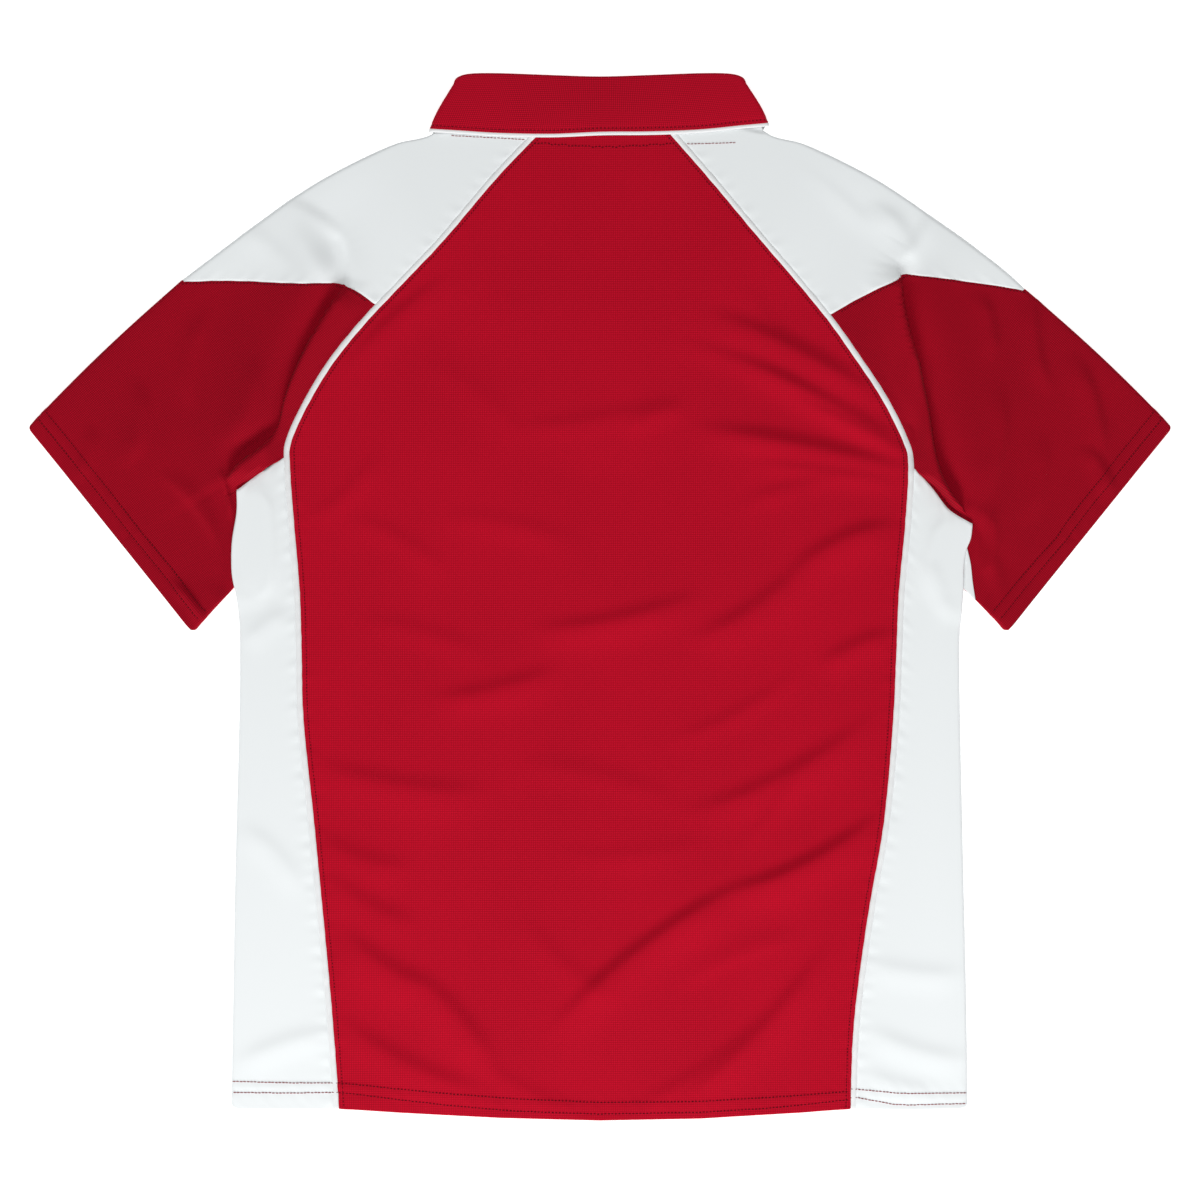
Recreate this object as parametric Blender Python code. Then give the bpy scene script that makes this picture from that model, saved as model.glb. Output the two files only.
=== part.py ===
"""Short-sleeved raglan polo shirt that lies flat on its front, collar folded.

Tables and sizes are in millimetres. +Y runs to the neck, +X to the right as the back is
seen from above, +Z up, and the front layer rests on z = 0. Every cloth piece is a wall
laid evenly to both sides of a middle surface. In plan, a piece is a set of rows between
two seams or folded edges; its heights come from one shared height field, so neighbours
meet at their seams.
"""
import math

import bmesh
import bpy
import numpy as np

MM = 0.001

# Cloth, seams and layers
CLOTH = 1.0                 # wall of the body cloth
RIB = 1.1                   # wall of the collar cloth
SEAM_GAP = 0.3              # between two pieces that are sewn together
PIPING_WIDTH = 4.1
FLOOR_LAYER = CLOTH / 2     # middle of the layer that rests on the floor
BACK_LAYER = 2.4            # middle of the back layer, away from folds
LEAST_RISE = 1.35           # middle of the back layer over that of the layer below, at least
EDGE_LOFT = 1.9             # the back layer stands this much higher beside a folded edge
EDGE_REACH = 27.0           # and sinks to its own level over about this width

# Neck: the collar's front lies under the front panel and lifts all that is above it
NECK_CENTRE_Y = 344.0
NECK_HALF_WIDTH = 146.0
NECK_HALF_DEPTH = 127.0
NECK_FRONT_LIFT = 1.8
NECK_FRONT_FADE = 1.2       # times the neck's size, where the lift has died out
NECK_BACK_LIFT = 2.0
NECK_BACK_FADE = 1.45
NECK_SEAM_Y = 353.5
FRONT_NECK_Y = 270.0        # lowest point of the front neckline
FRONT_NECK_BEND = 1.8
FRONT_NECK_FADE = 0.45      # part of the front's rows that follow the neckline's bend

# Placket and buttons
PLACKET_WIDTH = 32.0
PLACKET_END_Y = 137.0
PLACKET_LIFT_MARGIN = 4.0
PLACKET_LIFT_FADE = 24.0
PLACKET_BACK_LIFT = 1.6
BUTTON_RADIUS = 5.7
BUTTON_FACE_RADIUS = 5.2    # on the side that faces down
BUTTON_THICKNESS = 1.5
BUTTON_SEGMENTS = 24
BUTTON_HOLES = 4
BUTTON_HOLE_RADIUS = 0.8
BUTTON_HOLE_SPREAD = 1.5
BUTTON_HOLE_SEGMENTS = 8
BUTTON_HEIGHTS = (257.0, 208.0, 159.0)

# Underarm: the sleeve is tucked below the side panel
TUCKED_LAYER = 1.9          # middle of the sleeve's back layer where it is tucked in
TUCK_LIFT = 2.8             # the side panel's front layer is lifted over the tuck
TUCK_BACK_LIFT = 0.8
TUCK_STRETCH = (0.5, 0.9)   # part of the underarm's length that is tucked in
TUCK_NEAR = 16.0            # fully sunk this near to that stretch
TUCK_FAR = 31.0             # and not at all this far away
TUCK_MARGIN = 2.0

# Valley along the raglan seam where the sleeve folds down beside the body
CREASE_DEPTH = 2.3
CREASE_BODY_WIDTH = 6.0
CREASE_SLEEVE_WIDTH = 26.0
SLEEVE_SWELL = 1.1
SLEEVE_SWELL_WIDTH = 60.0

# Rows and columns of the walls
NECK_SPANS = 7              # seam spans from the neck to the sleeve seam
SLEEVE_SPANS = 7            # from the sleeve seam to the armpit
SIDE_SPANS = 18             # from the armpit to the hem
BACK_COLUMNS = 22
FRONT_COLUMNS = 5           # on each side of the placket
SHOULDER_COLUMNS = 7
SHOULDER_STATIONS = (0.0, 0.035, 0.09, 0.22, 0.40, 0.60, 0.80, 1.0)
SIDE_COLUMNS = 4
TUCK_COLUMNS = 4
TURN_SPANS = 5              # round a folded edge
SLEEVE_ROWS = (0.0, 0.22, 0.42, 0.60, 0.74, 0.85, 0.93, 1.0)
HEM_FADE_ROWS = 6           # rows over which a panel bends to its hem
SEAM_FADE_ROWS = 4          # and to a curved seam at its end
EDGE_BOW = 2.2              # outward bow of the sleeve's upper edge
TUCK_CORNER_GAP = 0.5       # between the sleeve and the side panel's upper corner
TUCK_PULL_POWER = 4         # how late the sleeve's columns let go of the tucked underarm
SHARP_ANGLE = math.radians(50)

RED = (0.42, 0.004, 0.014)
WHITE = (0.80, 0.83, 0.84)
BUTTON_RED = (0.30, 0.01, 0.02)
CLOTH_ROUGHNESS = 0.85
BUTTON_ROUGHNESS = 0.35


def table(columns, *rows):
    """Return the rows as a dict of arrays, one for each named column."""
    return dict(zip(columns.split(), np.array(rows, float).T))


# The back panel's side edges, from the neck to the hem
BODY_SEAM = table("y left right",
                  (353.5, -49.5, 56.0), (321.5, -80.0, 84.0), (275.0, -119.5, 123.0),
                  (244.5, -148.5, 149.5), (213.5, -178.0, 175.0), (182.5, -203.5, 197.0),
                  (152.0, -222.5, 217.0), (121.0, -237.0, 232.5), (102.0, -238.5, 237.0),
                  (59.5, -235.5, 235.0), (5.5, -231.0, 230.0), (-40.5, -229.5, 228.0),
                  (-94.5, -228.0, 225.5), (-171.5, -220.0, 218.5), (-248.5, -212.5, 205.5),
                  (-325.5, -205.5, 195.5), (-393.0, -200.5, 192.5))
SLEEVE_SEAM_Y = {"left": 222.5, "right": 215.0}
ARMPIT_Y = {"left": 108.0, "right": 99.5}
FRONT_SEAM_SHIFT = {"left": (-33.0, -40.0), "right": (26.5, -40.0)}

# Folded edges and seams in plan, each from the neck outwards or downwards
SHOULDER_EDGE = {
    "left": table("x y", (-117.0, 362.0), (-119.0, 357.5), (-126.0, 354.8), (-138.0, 352.8),
                  (-158.0, 348.5), (-185.0, 336.5), (-213.5, 321.5), (-238.0, 306.0), (-259.5, 290.5),
                  (-280.5, 275.0), (-311.0, 252.0), (-321.0, 244.5)),
    "right": table("x y", (115.5, 363.5), (117.5, 359.0), (125.0, 355.6), (137.0, 353.0),
                   (157.0, 348.5), (184.0, 336.5), (212.5, 321.5), (236.5, 306.0), (258.5, 290.5),
                   (280.5, 275.0), (310.5, 252.0), (326.5, 237.5)),
}
SLEEVE_SEAM = {
    "left": table("x y", (-282.5, 243.5), (-231.0, 241.0), (-202.5, 241.5), (-190.0, 236.5)),
    "right": table("x y", (286.5, 242.0), (267.0, 244.5), (240.0, 248.0), (229.5, 248.0),
                   (222.5, 242.0), (212.0, 236.5), (197.0, 229.0)),
}
SIDE_TOP_SEAM = {
    "left": table("x y", (-260.5, 96.0)),
    "right": table("x y", (249.5, 90.5), (256.5, 82.5), (268.5, 67.0)),
}
SIDE_EDGE = {
    "left": table("x y", (-279.5, 82.5), (-279.5, 65.5), (-283.0, 44.0), (-283.5, 25.0),
                  (-282.5, 13.5), (-279.5, -0.5), (-277.5, -20.0), (-277.0, -36.5),
                  (-277.5, -94.5), (-280.5, -210.0), (-282.5, -325.5), (-283.5, -392.5)),
    "right": table("x y", (286.5, 56.5), (285.5, 44.0), (283.0, 33.0), (283.0, 18.0),
                   (282.0, 4.0), (278.5, -12.0), (276.5, -36.5), (277.0, -94.5),
                   (279.5, -210.0), (282.0, -325.5), (282.5, -392.5)),
}
CUFF = {
    "left": table("x y", (-440.0, 131.0), (-313.0, -26.5)),
    "right": table("x y", (440.0, 131.0), (312.5, -26.5)),
}
UNDERARM = {
    "left": table("x y", (-313.0, -26.5), (-281.0, 8.0), (-273.5, 18.0), (-272.5, 44.0),
                  (-274.5, 77.0)),
    "right": table("x y", (312.5, -26.5), (288.0, -1.0), (275.0, 12.0), (273.5, 30.0),
                   (278.5, 51.0)),
}
CREASE = {
    "left": table("x y", (-227.0, 286.5), (-200.0, 271.5), (-197.0, 241.0), (-213.5, 212.0),
                  (-230.0, 179.5), (-241.0, 152.0), (-247.0, 132.0), (-256.0, 117.0),
                  (-286.0, 94.0)),
    "right": table("x y", (247.0, 282.0), (243.0, 265.0), (231.0, 249.0), (234.0, 216.0),
                   (243.0, 182.0), (250.0, 148.0), (255.0, 114.0), (270.0, 84.0),
                   (287.0, 60.0)),
}
# Share of the cuff that lies before each station of a sleeve's inner edge, and the part
# of the underarm's bend that each station follows. Stations 0 to 7 are on the shoulder,
# 7 to 14 beside the back panel, 14 to 18 on the side panel and 18 to 22 in the tuck.
CUFF_SHARE = table("station share", (0, 0.0), (7, 0.27), (14, 0.50), (18, 0.56), (22, 1.0))
TUCK_PULL = table("station part", (16, 0.0), (18, 0.15), (20, 0.6), (22, 1.0))
HEM = table("x y", (-283.5, -392.5), (-240.0, -393.5), (-200.0, -393.0), (-154.0, -396.0),
            (-77.0, -400.0), (0.0, -402.0), (77.0, -400.5), (154.0, -396.0),
            (192.5, -393.0), (240.0, -394.0), (282.5, -392.5))

# Folds of the back layer: ends, sideways bend, half width and height of each ridge, which
# rises and dies out over these parts of its length
FOLD_RISE = (-0.15, 0.3)
FOLD_END = (0.7, 1.15)
FOLDS = table("x0 y0 x1 y1 bend width height",
              (60, 232, 214, 158, 6, 15, 2.0), (38, 212, 205, 143, 5, 13, 1.4),
              (77, 136, 231, 110, 4, 14, 1.4), (224, 54, 150, 18, -6, 14, 2.2),
              (160, 24, 77, -33, 5, 15, 1.8), (72, -2, -45, -27, 4, 12, 1.5),
              (-35, -58, -125, -80, 3, 12, 1.3), (224, -29, 172, -54, -3, 11, 1.5),
              (206, -98, 77, -166, 7, 15, 1.8), (212, -172, 104, -228, 6, 16, 2.6),
              (112, -222, -30, -328, -8, 17, 2.6), (174, -274, 66, -388, 6, 15, 1.8),
              (-218, -131, -92, -152, -5, 12, 1.4), (-218, -187, -150, -211, -4, 12, 1.6),
              (-212, -215, -146, -254, -4, 12, 1.8), (-196, -262, -134, -302, -4, 14, 2.4),
              (-142, -294, -84, -360, 4, 13, 2.2), (-200, -328, -92, -382, -6, 12, 1.6),
              (-84, 262, -190, 178, -8, 12, 1.2), (-272, -36, -240, -12, 2, 10, 1.3),
              (-274, -178, -230, -226, 4, 13, 1.6), (-278, -360, -206, -336, 4, 12, 1.3),
              (204, -282, 278, -291, -3, 12, 1.4), (206, -334, 282, -357, -4, 13, 1.6),
              (204, -367, 256, -381, -2, 10, 1.2), (250, 30, 266, -18, 3, 9, 1.2))

# Collar levels, from the neck seam over the fold to the fall's edge
COLLAR = table("left right front_x front_y z_back z_front",
               (-117.0, 115.5, 1.2, 270.0, 4.4, 2.3),
               (-110.0, 109.8, 1.2, 303.0, 4.4, 2.3),
               (-112.7, 112.5, 2.0, 303.0, 6.9, 0.55),
               (-131.0, 129.5, 54.0, 229.0, 6.0, 0.55))
SEAM_LEVEL, STAND_FOLD, FALL_FOLD, FALL_EDGE = range(4)
NECK_LINE = table("x y", (-117.0, 362.4), (-49.5, 353.85), (56.0, 353.85), (115.5, 363.9))
COLLAR_TOP = table("x y", (-109.0, 398.4), (-98.0, 399.8), (-77.0, 400.7), (-40.0, 399.4),
                   (0.0, 398.2), (40.0, 399.4), (77.0, 400.7), (98.0, 399.8), (109.0, 398.4))
COLLAR_HANG = table("x y", (-131.0, 361.2), (-108.0, 360.0), (-77.0, 358.7), (-38.0, 358.0),
                    (0.0, 358.8), (38.0, 359.0), (77.0, 360.3), (108.0, 363.3),
                    (129.5, 364.8))
COLLAR_LINES = (NECK_LINE, COLLAR_TOP, COLLAR_TOP, COLLAR_HANG)
NECK_GAP = 0.35             # between the collar and the panels that it is sewn to
NECKLINE_SPANS = 5          # front spans from the middle to the front seam
NECK_SIDE_SPANS = 3         # from a seam to the side of the neck
NECK_BACK_SPANS = 8
STAND_ROWS = 3
FOLD_ROWS = 5
FALL_ROWS = 3
COLLAR_PIPING_WIDTH = 3.2
LEAF_DROP = 2.0             # the fall's edge is lower on the front than on the back


def smooth_step(value, low, high):
    """Rise from 0 at low to 1 at high along an S curve."""
    part = np.clip((value - low) / (high - low), 0.0, 1.0)
    return part * part * (3.0 - 2.0 * part)


def union(*lifts):
    """Blend lifts from 0 to 1 into one that is 1 where any of them is."""
    rest = 1.0
    for lift in lifts:
        rest = rest * (1.0 - lift)
    return 1.0 - rest


def smooth_path(points, steps=10):
    """Return points of a smooth curve (Catmull-Rom) through the given plan points."""
    ends = np.vstack([2 * points[0] - points[1], points, 2 * points[-1] - points[-2]])
    a, b, c, d = ends[:-3, None], ends[1:-2, None], ends[2:-1, None], ends[3:, None]
    t = np.linspace(0.0, 1.0, steps, endpoint=False)[None, :, None]
    curve = 0.5 * (2 * b + (c - a) * t + (2 * a - 5 * b + 4 * c - d) * t ** 2
                   + (3 * b - a - 3 * c + d) * t ** 3)
    return np.vstack([curve.reshape(-1, 2), points[-1]])


def plan(rows, before=(), after=()):
    """Return the plan points of a table, with points added at its ends."""
    middle = np.column_stack([rows["x"], rows["y"]])
    return np.vstack([np.reshape(before, (-1, 2)), middle, np.reshape(after, (-1, 2))])


def at_fraction(path, fraction):
    """Return the points at the given fractions of a path's length."""
    length = np.append(0.0, np.cumsum(np.linalg.norm(np.diff(path, axis=0), axis=1)))
    place = np.asarray(fraction) * length[-1]
    return np.column_stack([np.interp(place, length, path[:, axis]) for axis in (0, 1)])


def at_height(path, height):
    """Return the points at the given y of a path that runs down the shirt."""
    return np.column_stack([np.interp(height, path[::-1, 1], path[::-1, 0]), height])


def normals_of(path, turn):
    """Return unit normals of a plan path: right of its run if turn is 1, left if -1."""
    run = np.gradient(path, axis=0)
    run /= np.linalg.norm(run, axis=1)[:, None]
    return turn * np.column_stack([run[:, 1], -run[:, 0]])


def nearest(path, points):
    """Return each point's distance to a path, and 1 or -1 for the side it lies on."""
    start = path[:-1]
    step = np.diff(path, axis=0)
    offset = points[..., None, :] - start
    part = np.clip((offset * step).sum(-1) / (step ** 2).sum(-1), 0.0, 1.0)
    gap = offset - part[..., None] * step
    distance = np.linalg.norm(gap, axis=-1)
    cross = step[:, 0] * gap[..., 1] - step[:, 1] * gap[..., 0]
    best = distance.argmin(-1)[..., None]
    side = np.sign(np.take_along_axis(cross, best, -1)[..., 0])
    return distance.min(-1), side


def hem_y(x):
    """Return the hem's height in plan at x."""
    return np.interp(x, HEM["x"], HEM["y"])


def front_neck_y(x):
    """Return the front neckline's height in plan at x, between the front seams."""
    side_y = BODY_SEAM["y"][0] + FRONT_SEAM_SHIFT["left"][1]
    half = abs(BODY_SEAM["left"][0] + FRONT_SEAM_SHIFT["left"][0])
    beside = np.maximum(np.abs(x), PLACKET_WIDTH / 2 + SEAM_GAP)
    return FRONT_NECK_Y + (side_y - FRONT_NECK_Y) * (beside / half) ** FRONT_NECK_BEND


def neck_place(points):
    """Return the distance from the neck's centre, 1 on the edge of the collar's front."""
    return np.hypot(points[..., 0] / NECK_HALF_WIDTH,
                    (points[..., 1] - NECK_CENTRE_Y) / NECK_HALF_DEPTH)


def placket_place(points):
    """Return the distance outside the placket's outline in plan."""
    beside = np.maximum(np.abs(points[..., 0]) - PLACKET_WIDTH / 2, 0.0)
    below = np.maximum(PLACKET_END_Y - points[..., 1], 0.0)
    return np.hypot(beside, below)


def tuck_part(points, margin=0.0):
    """Return 1 over the tucked underarms and 0 well away from them."""
    parts = [1.0 - smooth_step(nearest(side.tuck, points)[0], TUCK_NEAR + margin,
                               TUCK_FAR + margin) for side in SIDES]
    return union(*parts)


def front_height(points, over_tuck=False):
    """Return the height of the front layer's middle surface."""
    neck = 1.0 - smooth_step(neck_place(points), 1.0, NECK_FRONT_FADE)
    placket = 1.0 - smooth_step(placket_place(points), PLACKET_LIFT_MARGIN, PLACKET_LIFT_FADE)
    height = FLOOR_LAYER + NECK_FRONT_LIFT * union(neck, placket)
    if over_tuck:
        height = height + TUCK_LIFT * tuck_part(points, TUCK_MARGIN)
    return height


def ridge_height(points, folds):
    """Return the summed height of the fold ridges: round across, faded at both ends."""
    x, y = points[..., 0], points[..., 1]
    total = np.zeros(x.shape)
    for x0, y0, x1, y1, bend, width, height in zip(*folds.values()):
        length = math.hypot(x1 - x0, y1 - y0)
        along = ((x - x0) * (x1 - x0) + (y - y0) * (y1 - y0)) / length ** 2
        across = ((y - y0) * (x1 - x0) - (x - x0) * (y1 - y0)) / length
        across = across - bend * 4.0 * along * (1.0 - along)
        fade = smooth_step(along, *FOLD_RISE) * (1.0 - smooth_step(along, *FOLD_END))
        total += height * fade * np.exp(-(across / width) ** 2)
    return total


def crease_drop(points, side):
    """Return the depth of the valley beside the raglan seam, steep on the body side."""
    distance, flank = nearest(side.crease, points)
    sleeve_side = flank * side.turn < 0.0
    width = np.where(sleeve_side, CREASE_SLEEVE_WIDTH, CREASE_BODY_WIDTH)
    swell = np.where(sleeve_side, 1.0 - np.exp(-(distance / CREASE_SLEEVE_WIDTH) ** 2), 0.0)
    swell *= SLEEVE_SWELL * np.exp(-(distance / SLEEVE_SWELL_WIDTH) ** 2)
    return CREASE_DEPTH * np.exp(-(distance / width) ** 2) - swell


def back_height(points, creased=None):
    """Return the height of the back layer's middle surface; creased is a side or None."""
    edge = np.min([nearest(line, points)[0] for side in SIDES for line in side.edges], axis=0)
    neck = 1.0 - smooth_step(neck_place(points), 1.0, NECK_BACK_FADE)
    placket = 1.0 - smooth_step(placket_place(points), PLACKET_LIFT_MARGIN,
                                2 * PLACKET_LIFT_FADE)
    loft = np.exp(-(edge / EDGE_REACH) ** 2)
    lift = union(neck, loft * EDGE_LOFT / NECK_BACK_LIFT,
                 placket * PLACKET_BACK_LIFT / NECK_BACK_LIFT)
    height = BACK_LAYER + NECK_BACK_LIFT * lift + TUCK_BACK_LIFT * tuck_part(points)
    height = height + ridge_height(points, FOLDS) * (1.0 - neck)
    if creased:
        height = height - crease_drop(points, creased) * (1.0 - neck)
    floor = front_height(points, over_tuck=True) + LEAST_RISE
    return np.maximum(height, floor)


def sleeve_height(points, side):
    """Return the height of a sleeve's back layer, which sinks below the side panel."""
    tucked = tuck_part(points)
    return back_height(points, side) * (1.0 - tucked) + TUCKED_LAYER * tucked


def surface(points, heights):
    """Join plan points and heights into points of a middle surface."""
    return np.concatenate([points, heights[..., None]], axis=-1)


def lay_rows(starts, ends, fractions, first=None, last=None):
    """Return rows of plan points from starts to ends.

    first and last are lines that the first and last row follow instead of a straight
    one, and their bend dies out over the next rows.
    """
    rows = starts[:, None] + (ends - starts)[:, None] * fractions[None, :, None]
    count = len(starts) - 1
    index = np.arange(count + 1)[:, None, None]
    if first is not None:
        rows = rows + (first - rows[0]) * (1.0 - smooth_step(index, 0, SEAM_FADE_ROWS))
    if last is not None:
        rows = rows + (last - rows[-1]) * smooth_step(index, count - SEAM_FADE_ROWS, count)
    return rows


def turn_round(upper, lower, outward, spans):
    """Return the inner points of half circles from upper to lower, one for each row."""
    centre = (upper + lower)[:, None] / 2
    half = (upper - lower)[:, None] / 2
    angle = (np.arange(1, spans) * math.pi / spans)[None, :, None]
    out = np.column_stack([outward, np.zeros(len(outward))])[:, None]
    return centre + np.cos(angle) * half + np.sin(angle) * half[..., 2:] * out


def inset_of(edge, outward, upper_height, lower_height):
    """Move a folded edge's outline in to where its half circle starts."""
    radius = (upper_height - lower_height) / 2
    return edge - outward * (radius + CLOTH / 2)[:, None]


class Side:
    """Seams and folded edges of one side of the shirt, in plan, at shared stations."""

    def __init__(self, name, turn):
        """Read the side's tables; turn is 1 on the left and -1 on the right."""
        self.name = name
        self.turn = turn
        self.seam_path = smooth_path(np.column_stack([BODY_SEAM[name], BODY_SEAM["y"]]))
        stops = (NECK_SEAM_Y, SLEEVE_SEAM_Y[name], ARMPIT_Y[name], BODY_SEAM["y"][-1])
        spans = (NECK_SPANS, SLEEVE_SPANS, SIDE_SPANS)
        heights = [np.linspace(top, low, count, endpoint=False)
                   for top, low, count in zip(stops, stops[1:], spans)]
        self.seam = at_height(self.seam_path, np.append(np.concatenate(heights), stops[-1]))
        self.out = normals_of(self.seam, turn)
        self.shoulder_edge = smooth_path(plan(SHOULDER_EDGE[name]))
        self.side_edge = smooth_path(plan(SIDE_EDGE[name]))
        self.underarm = smooth_path(plan(UNDERARM[name]))
        self.tuck = at_fraction(self.underarm, np.linspace(*TUCK_STRETCH, 8))
        self.crease = smooth_path(plan(CREASE[name]))
        self.cuff = plan(CUFF[name])
        self.edges = (self.shoulder_edge, self.side_edge, self.underarm,
                      np.vstack([self.shoulder_edge[-1], self.cuff[0]]))

    def beside_seam(self, gap):
        """Return the stations moved out by gap; the neck end is cut along the neck seam."""
        points = self.seam + gap * self.out
        along = self.shoulder_edge[0] - self.seam[0]
        along /= np.linalg.norm(along)
        points[0] = self.seam[0] + along * gap / (along @ self.out[0])
        points[-1] = self.seam[-1] + (gap / self.out[-1, 0], 0.0)
        points[-1, 1] = hem_y(points[-1, 0])
        return points

    def beside_piping(self):
        """Return the stations along the outer side of the piping."""
        return self.beside_seam(2 * SEAM_GAP + PIPING_WIDTH)

    def front_seam(self, gap):
        """Return the front seam's stations: nearer the middle towards the neck."""
        nearness = 1.0 - smooth_step(np.arange(len(self.seam)), 0, NECK_SPANS)[:, None]
        line = self.seam + np.array(FRONT_SEAM_SHIFT[self.name]) * nearness
        points = line + gap * normals_of(line, self.turn)
        points[-1, 1] = hem_y(points[-1, 0])
        if gap:
            along = self.shoulder_edge[0] - line[0]
            along /= np.linalg.norm(along)
            points[0] = line[0] + along * gap / (along @ self.out[0])
        return points


def wall(name, grid, cloth, colour, ring=False, keep=None):
    """Make a closed wall of cloth round a middle surface of (rows, columns, 3) points.

    ring joins the last column to the first; keep marks the quads that aren't cut out.
    """
    rows, columns = grid.shape[:2]
    number = np.arange(rows * columns).reshape(rows, columns)
    if ring:
        number = np.concatenate([number, number[:, :1]], axis=1)
    quads = np.stack([number[:-1, :-1], number[1:, :-1], number[1:, 1:], number[:-1, 1:]], -1)
    quads = quads.reshape(-1, 4) if keep is None else quads[keep]
    middle = grid.reshape(-1, 3)
    corners = middle[quads]
    facing = np.cross(corners[:, 2] - corners[:, 0], corners[:, 3] - corners[:, 1])
    facing /= np.linalg.norm(facing, axis=1)[:, None]
    normal = np.zeros(middle.shape)
    for corner in range(4):
        np.add.at(normal, quads[:, corner], facing)
    normal /= np.maximum(np.linalg.norm(normal, axis=1), 1e-9)[:, None]
    upper = middle + normal * cloth / 2
    lower = middle - normal * cloth / 2
    steps = np.stack([quads, np.roll(quads, -1, axis=1)], -1).reshape(-1, 2).tolist()
    used = set(map(tuple, steps))
    rim = np.array([(start, end) for start, end in steps if (end, start) not in used])
    under = len(middle)
    band = np.column_stack([rim[:, 1], rim[:, 0], rim[:, 0] + under, rim[:, 1] + under])
    lengths = np.linalg.norm(corners - np.roll(corners, 2, axis=1), axis=-1)
    turned = np.where((lengths[:, 1] < lengths[:, 0])[:, None], np.roll(quads, -1, 1), quads)
    cloth_faces = np.vstack([turned[:, :3], turned[:, [0, 2, 3]]])
    faces = np.vstack([cloth_faces, cloth_faces[:, ::-1] + under,
                       band[:, :3], band[:, [0, 2, 3]]])
    return solid(name, np.vstack([upper, lower]), faces.tolist(), colour)


def solid(name, points, faces, colour, roughness=CLOTH_ROUGHNESS):
    """Make a closed mesh object in metres with its faces pointing out."""
    mesh = bpy.data.meshes.new(name)
    mesh.from_pydata((points * MM).tolist(), [], faces)
    body = bmesh.new()
    body.from_mesh(mesh)
    loose = [vert for vert in body.verts if not vert.link_faces]
    bmesh.ops.delete(body, geom=loose, context="VERTS")
    if body.calc_volume(signed=True) < 0.0:
        bmesh.ops.reverse_faces(body, faces=body.faces)
    body.to_mesh(mesh)
    body.free()
    mesh.shade_smooth()
    mesh.set_sharp_from_angle(angle=SHARP_ANGLE)
    piece = bpy.data.objects.new(name, mesh)
    bpy.context.collection.objects.link(piece)
    finish = bpy.data.materials.new(name)
    finish.use_nodes = True
    shader = finish.node_tree.nodes["Principled BSDF"]
    shader.inputs["Base Color"].default_value = (*colour, 1.0)
    shader.inputs["Roughness"].default_value = roughness
    mesh.materials.append(finish)
    return piece


def hem_rows(rows):
    """Bend the last rows of a panel so that it ends on the hem line."""
    bend = hem_y(rows[-1, :, 0]) - rows[-1, :, 1]
    count = len(rows) - 1
    weight = smooth_step(np.arange(count + 1), count - HEM_FADE_ROWS, count)
    rows[..., 1] += weight[:, None] * bend
    return rows


def build_back():
    """The back panel: rows from the left seam to the right seam."""
    left, right = SIDES
    rows = lay_rows(left.seam, right.seam, np.linspace(0.0, 1.0, BACK_COLUMNS + 1))
    rows = hem_rows(rows)
    wall("back_panel", surface(rows, back_height(rows)), CLOTH, RED)


def build_front():
    """The front panel with its placket band, which fills a cut-out in the panel."""
    left, right = (side.front_seam(0.0) for side in SIDES)
    cut = PLACKET_WIDTH / 2 + SEAM_GAP / 2
    part = np.linspace(0.0, 1.0, FRONT_COLUMNS + 1)
    level = np.linspace(0.0, 1.0, len(left))[:, None]
    x = np.concatenate([left[:, :1] + (-cut - left[:, :1]) * part,
                        cut + (right[:, :1] - cut) * part], axis=1)
    across = (x - left[:, :1]) / (right[:, :1] - left[:, :1])
    y = left[:, 1:] + (right[:, 1:] - left[:, 1:]) * across
    fade = 1.0 - smooth_step(level, 0.0, FRONT_NECK_FADE)
    y = y + (front_neck_y(x[:1]) - y[:1]) * fade
    rows = hem_rows(np.stack([x, y], -1))
    end = int(np.argmin(np.abs(rows[:, FRONT_COLUMNS, 1] - PLACKET_END_Y)))
    keep = np.ones((len(rows) - 1, rows.shape[1] - 1), bool)
    keep[:end, FRONT_COLUMNS] = False
    wall("front_panel", surface(rows, front_height(rows)), CLOTH, RED, keep=keep)

    band = rows[:end + 1, FRONT_COLUMNS:FRONT_COLUMNS + 2].copy()
    band[..., 0] *= (cut - SEAM_GAP) / cut
    band[-1, :, 1] += SEAM_GAP
    wall("placket", surface(band, front_height(band)), CLOTH, RED)


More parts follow.
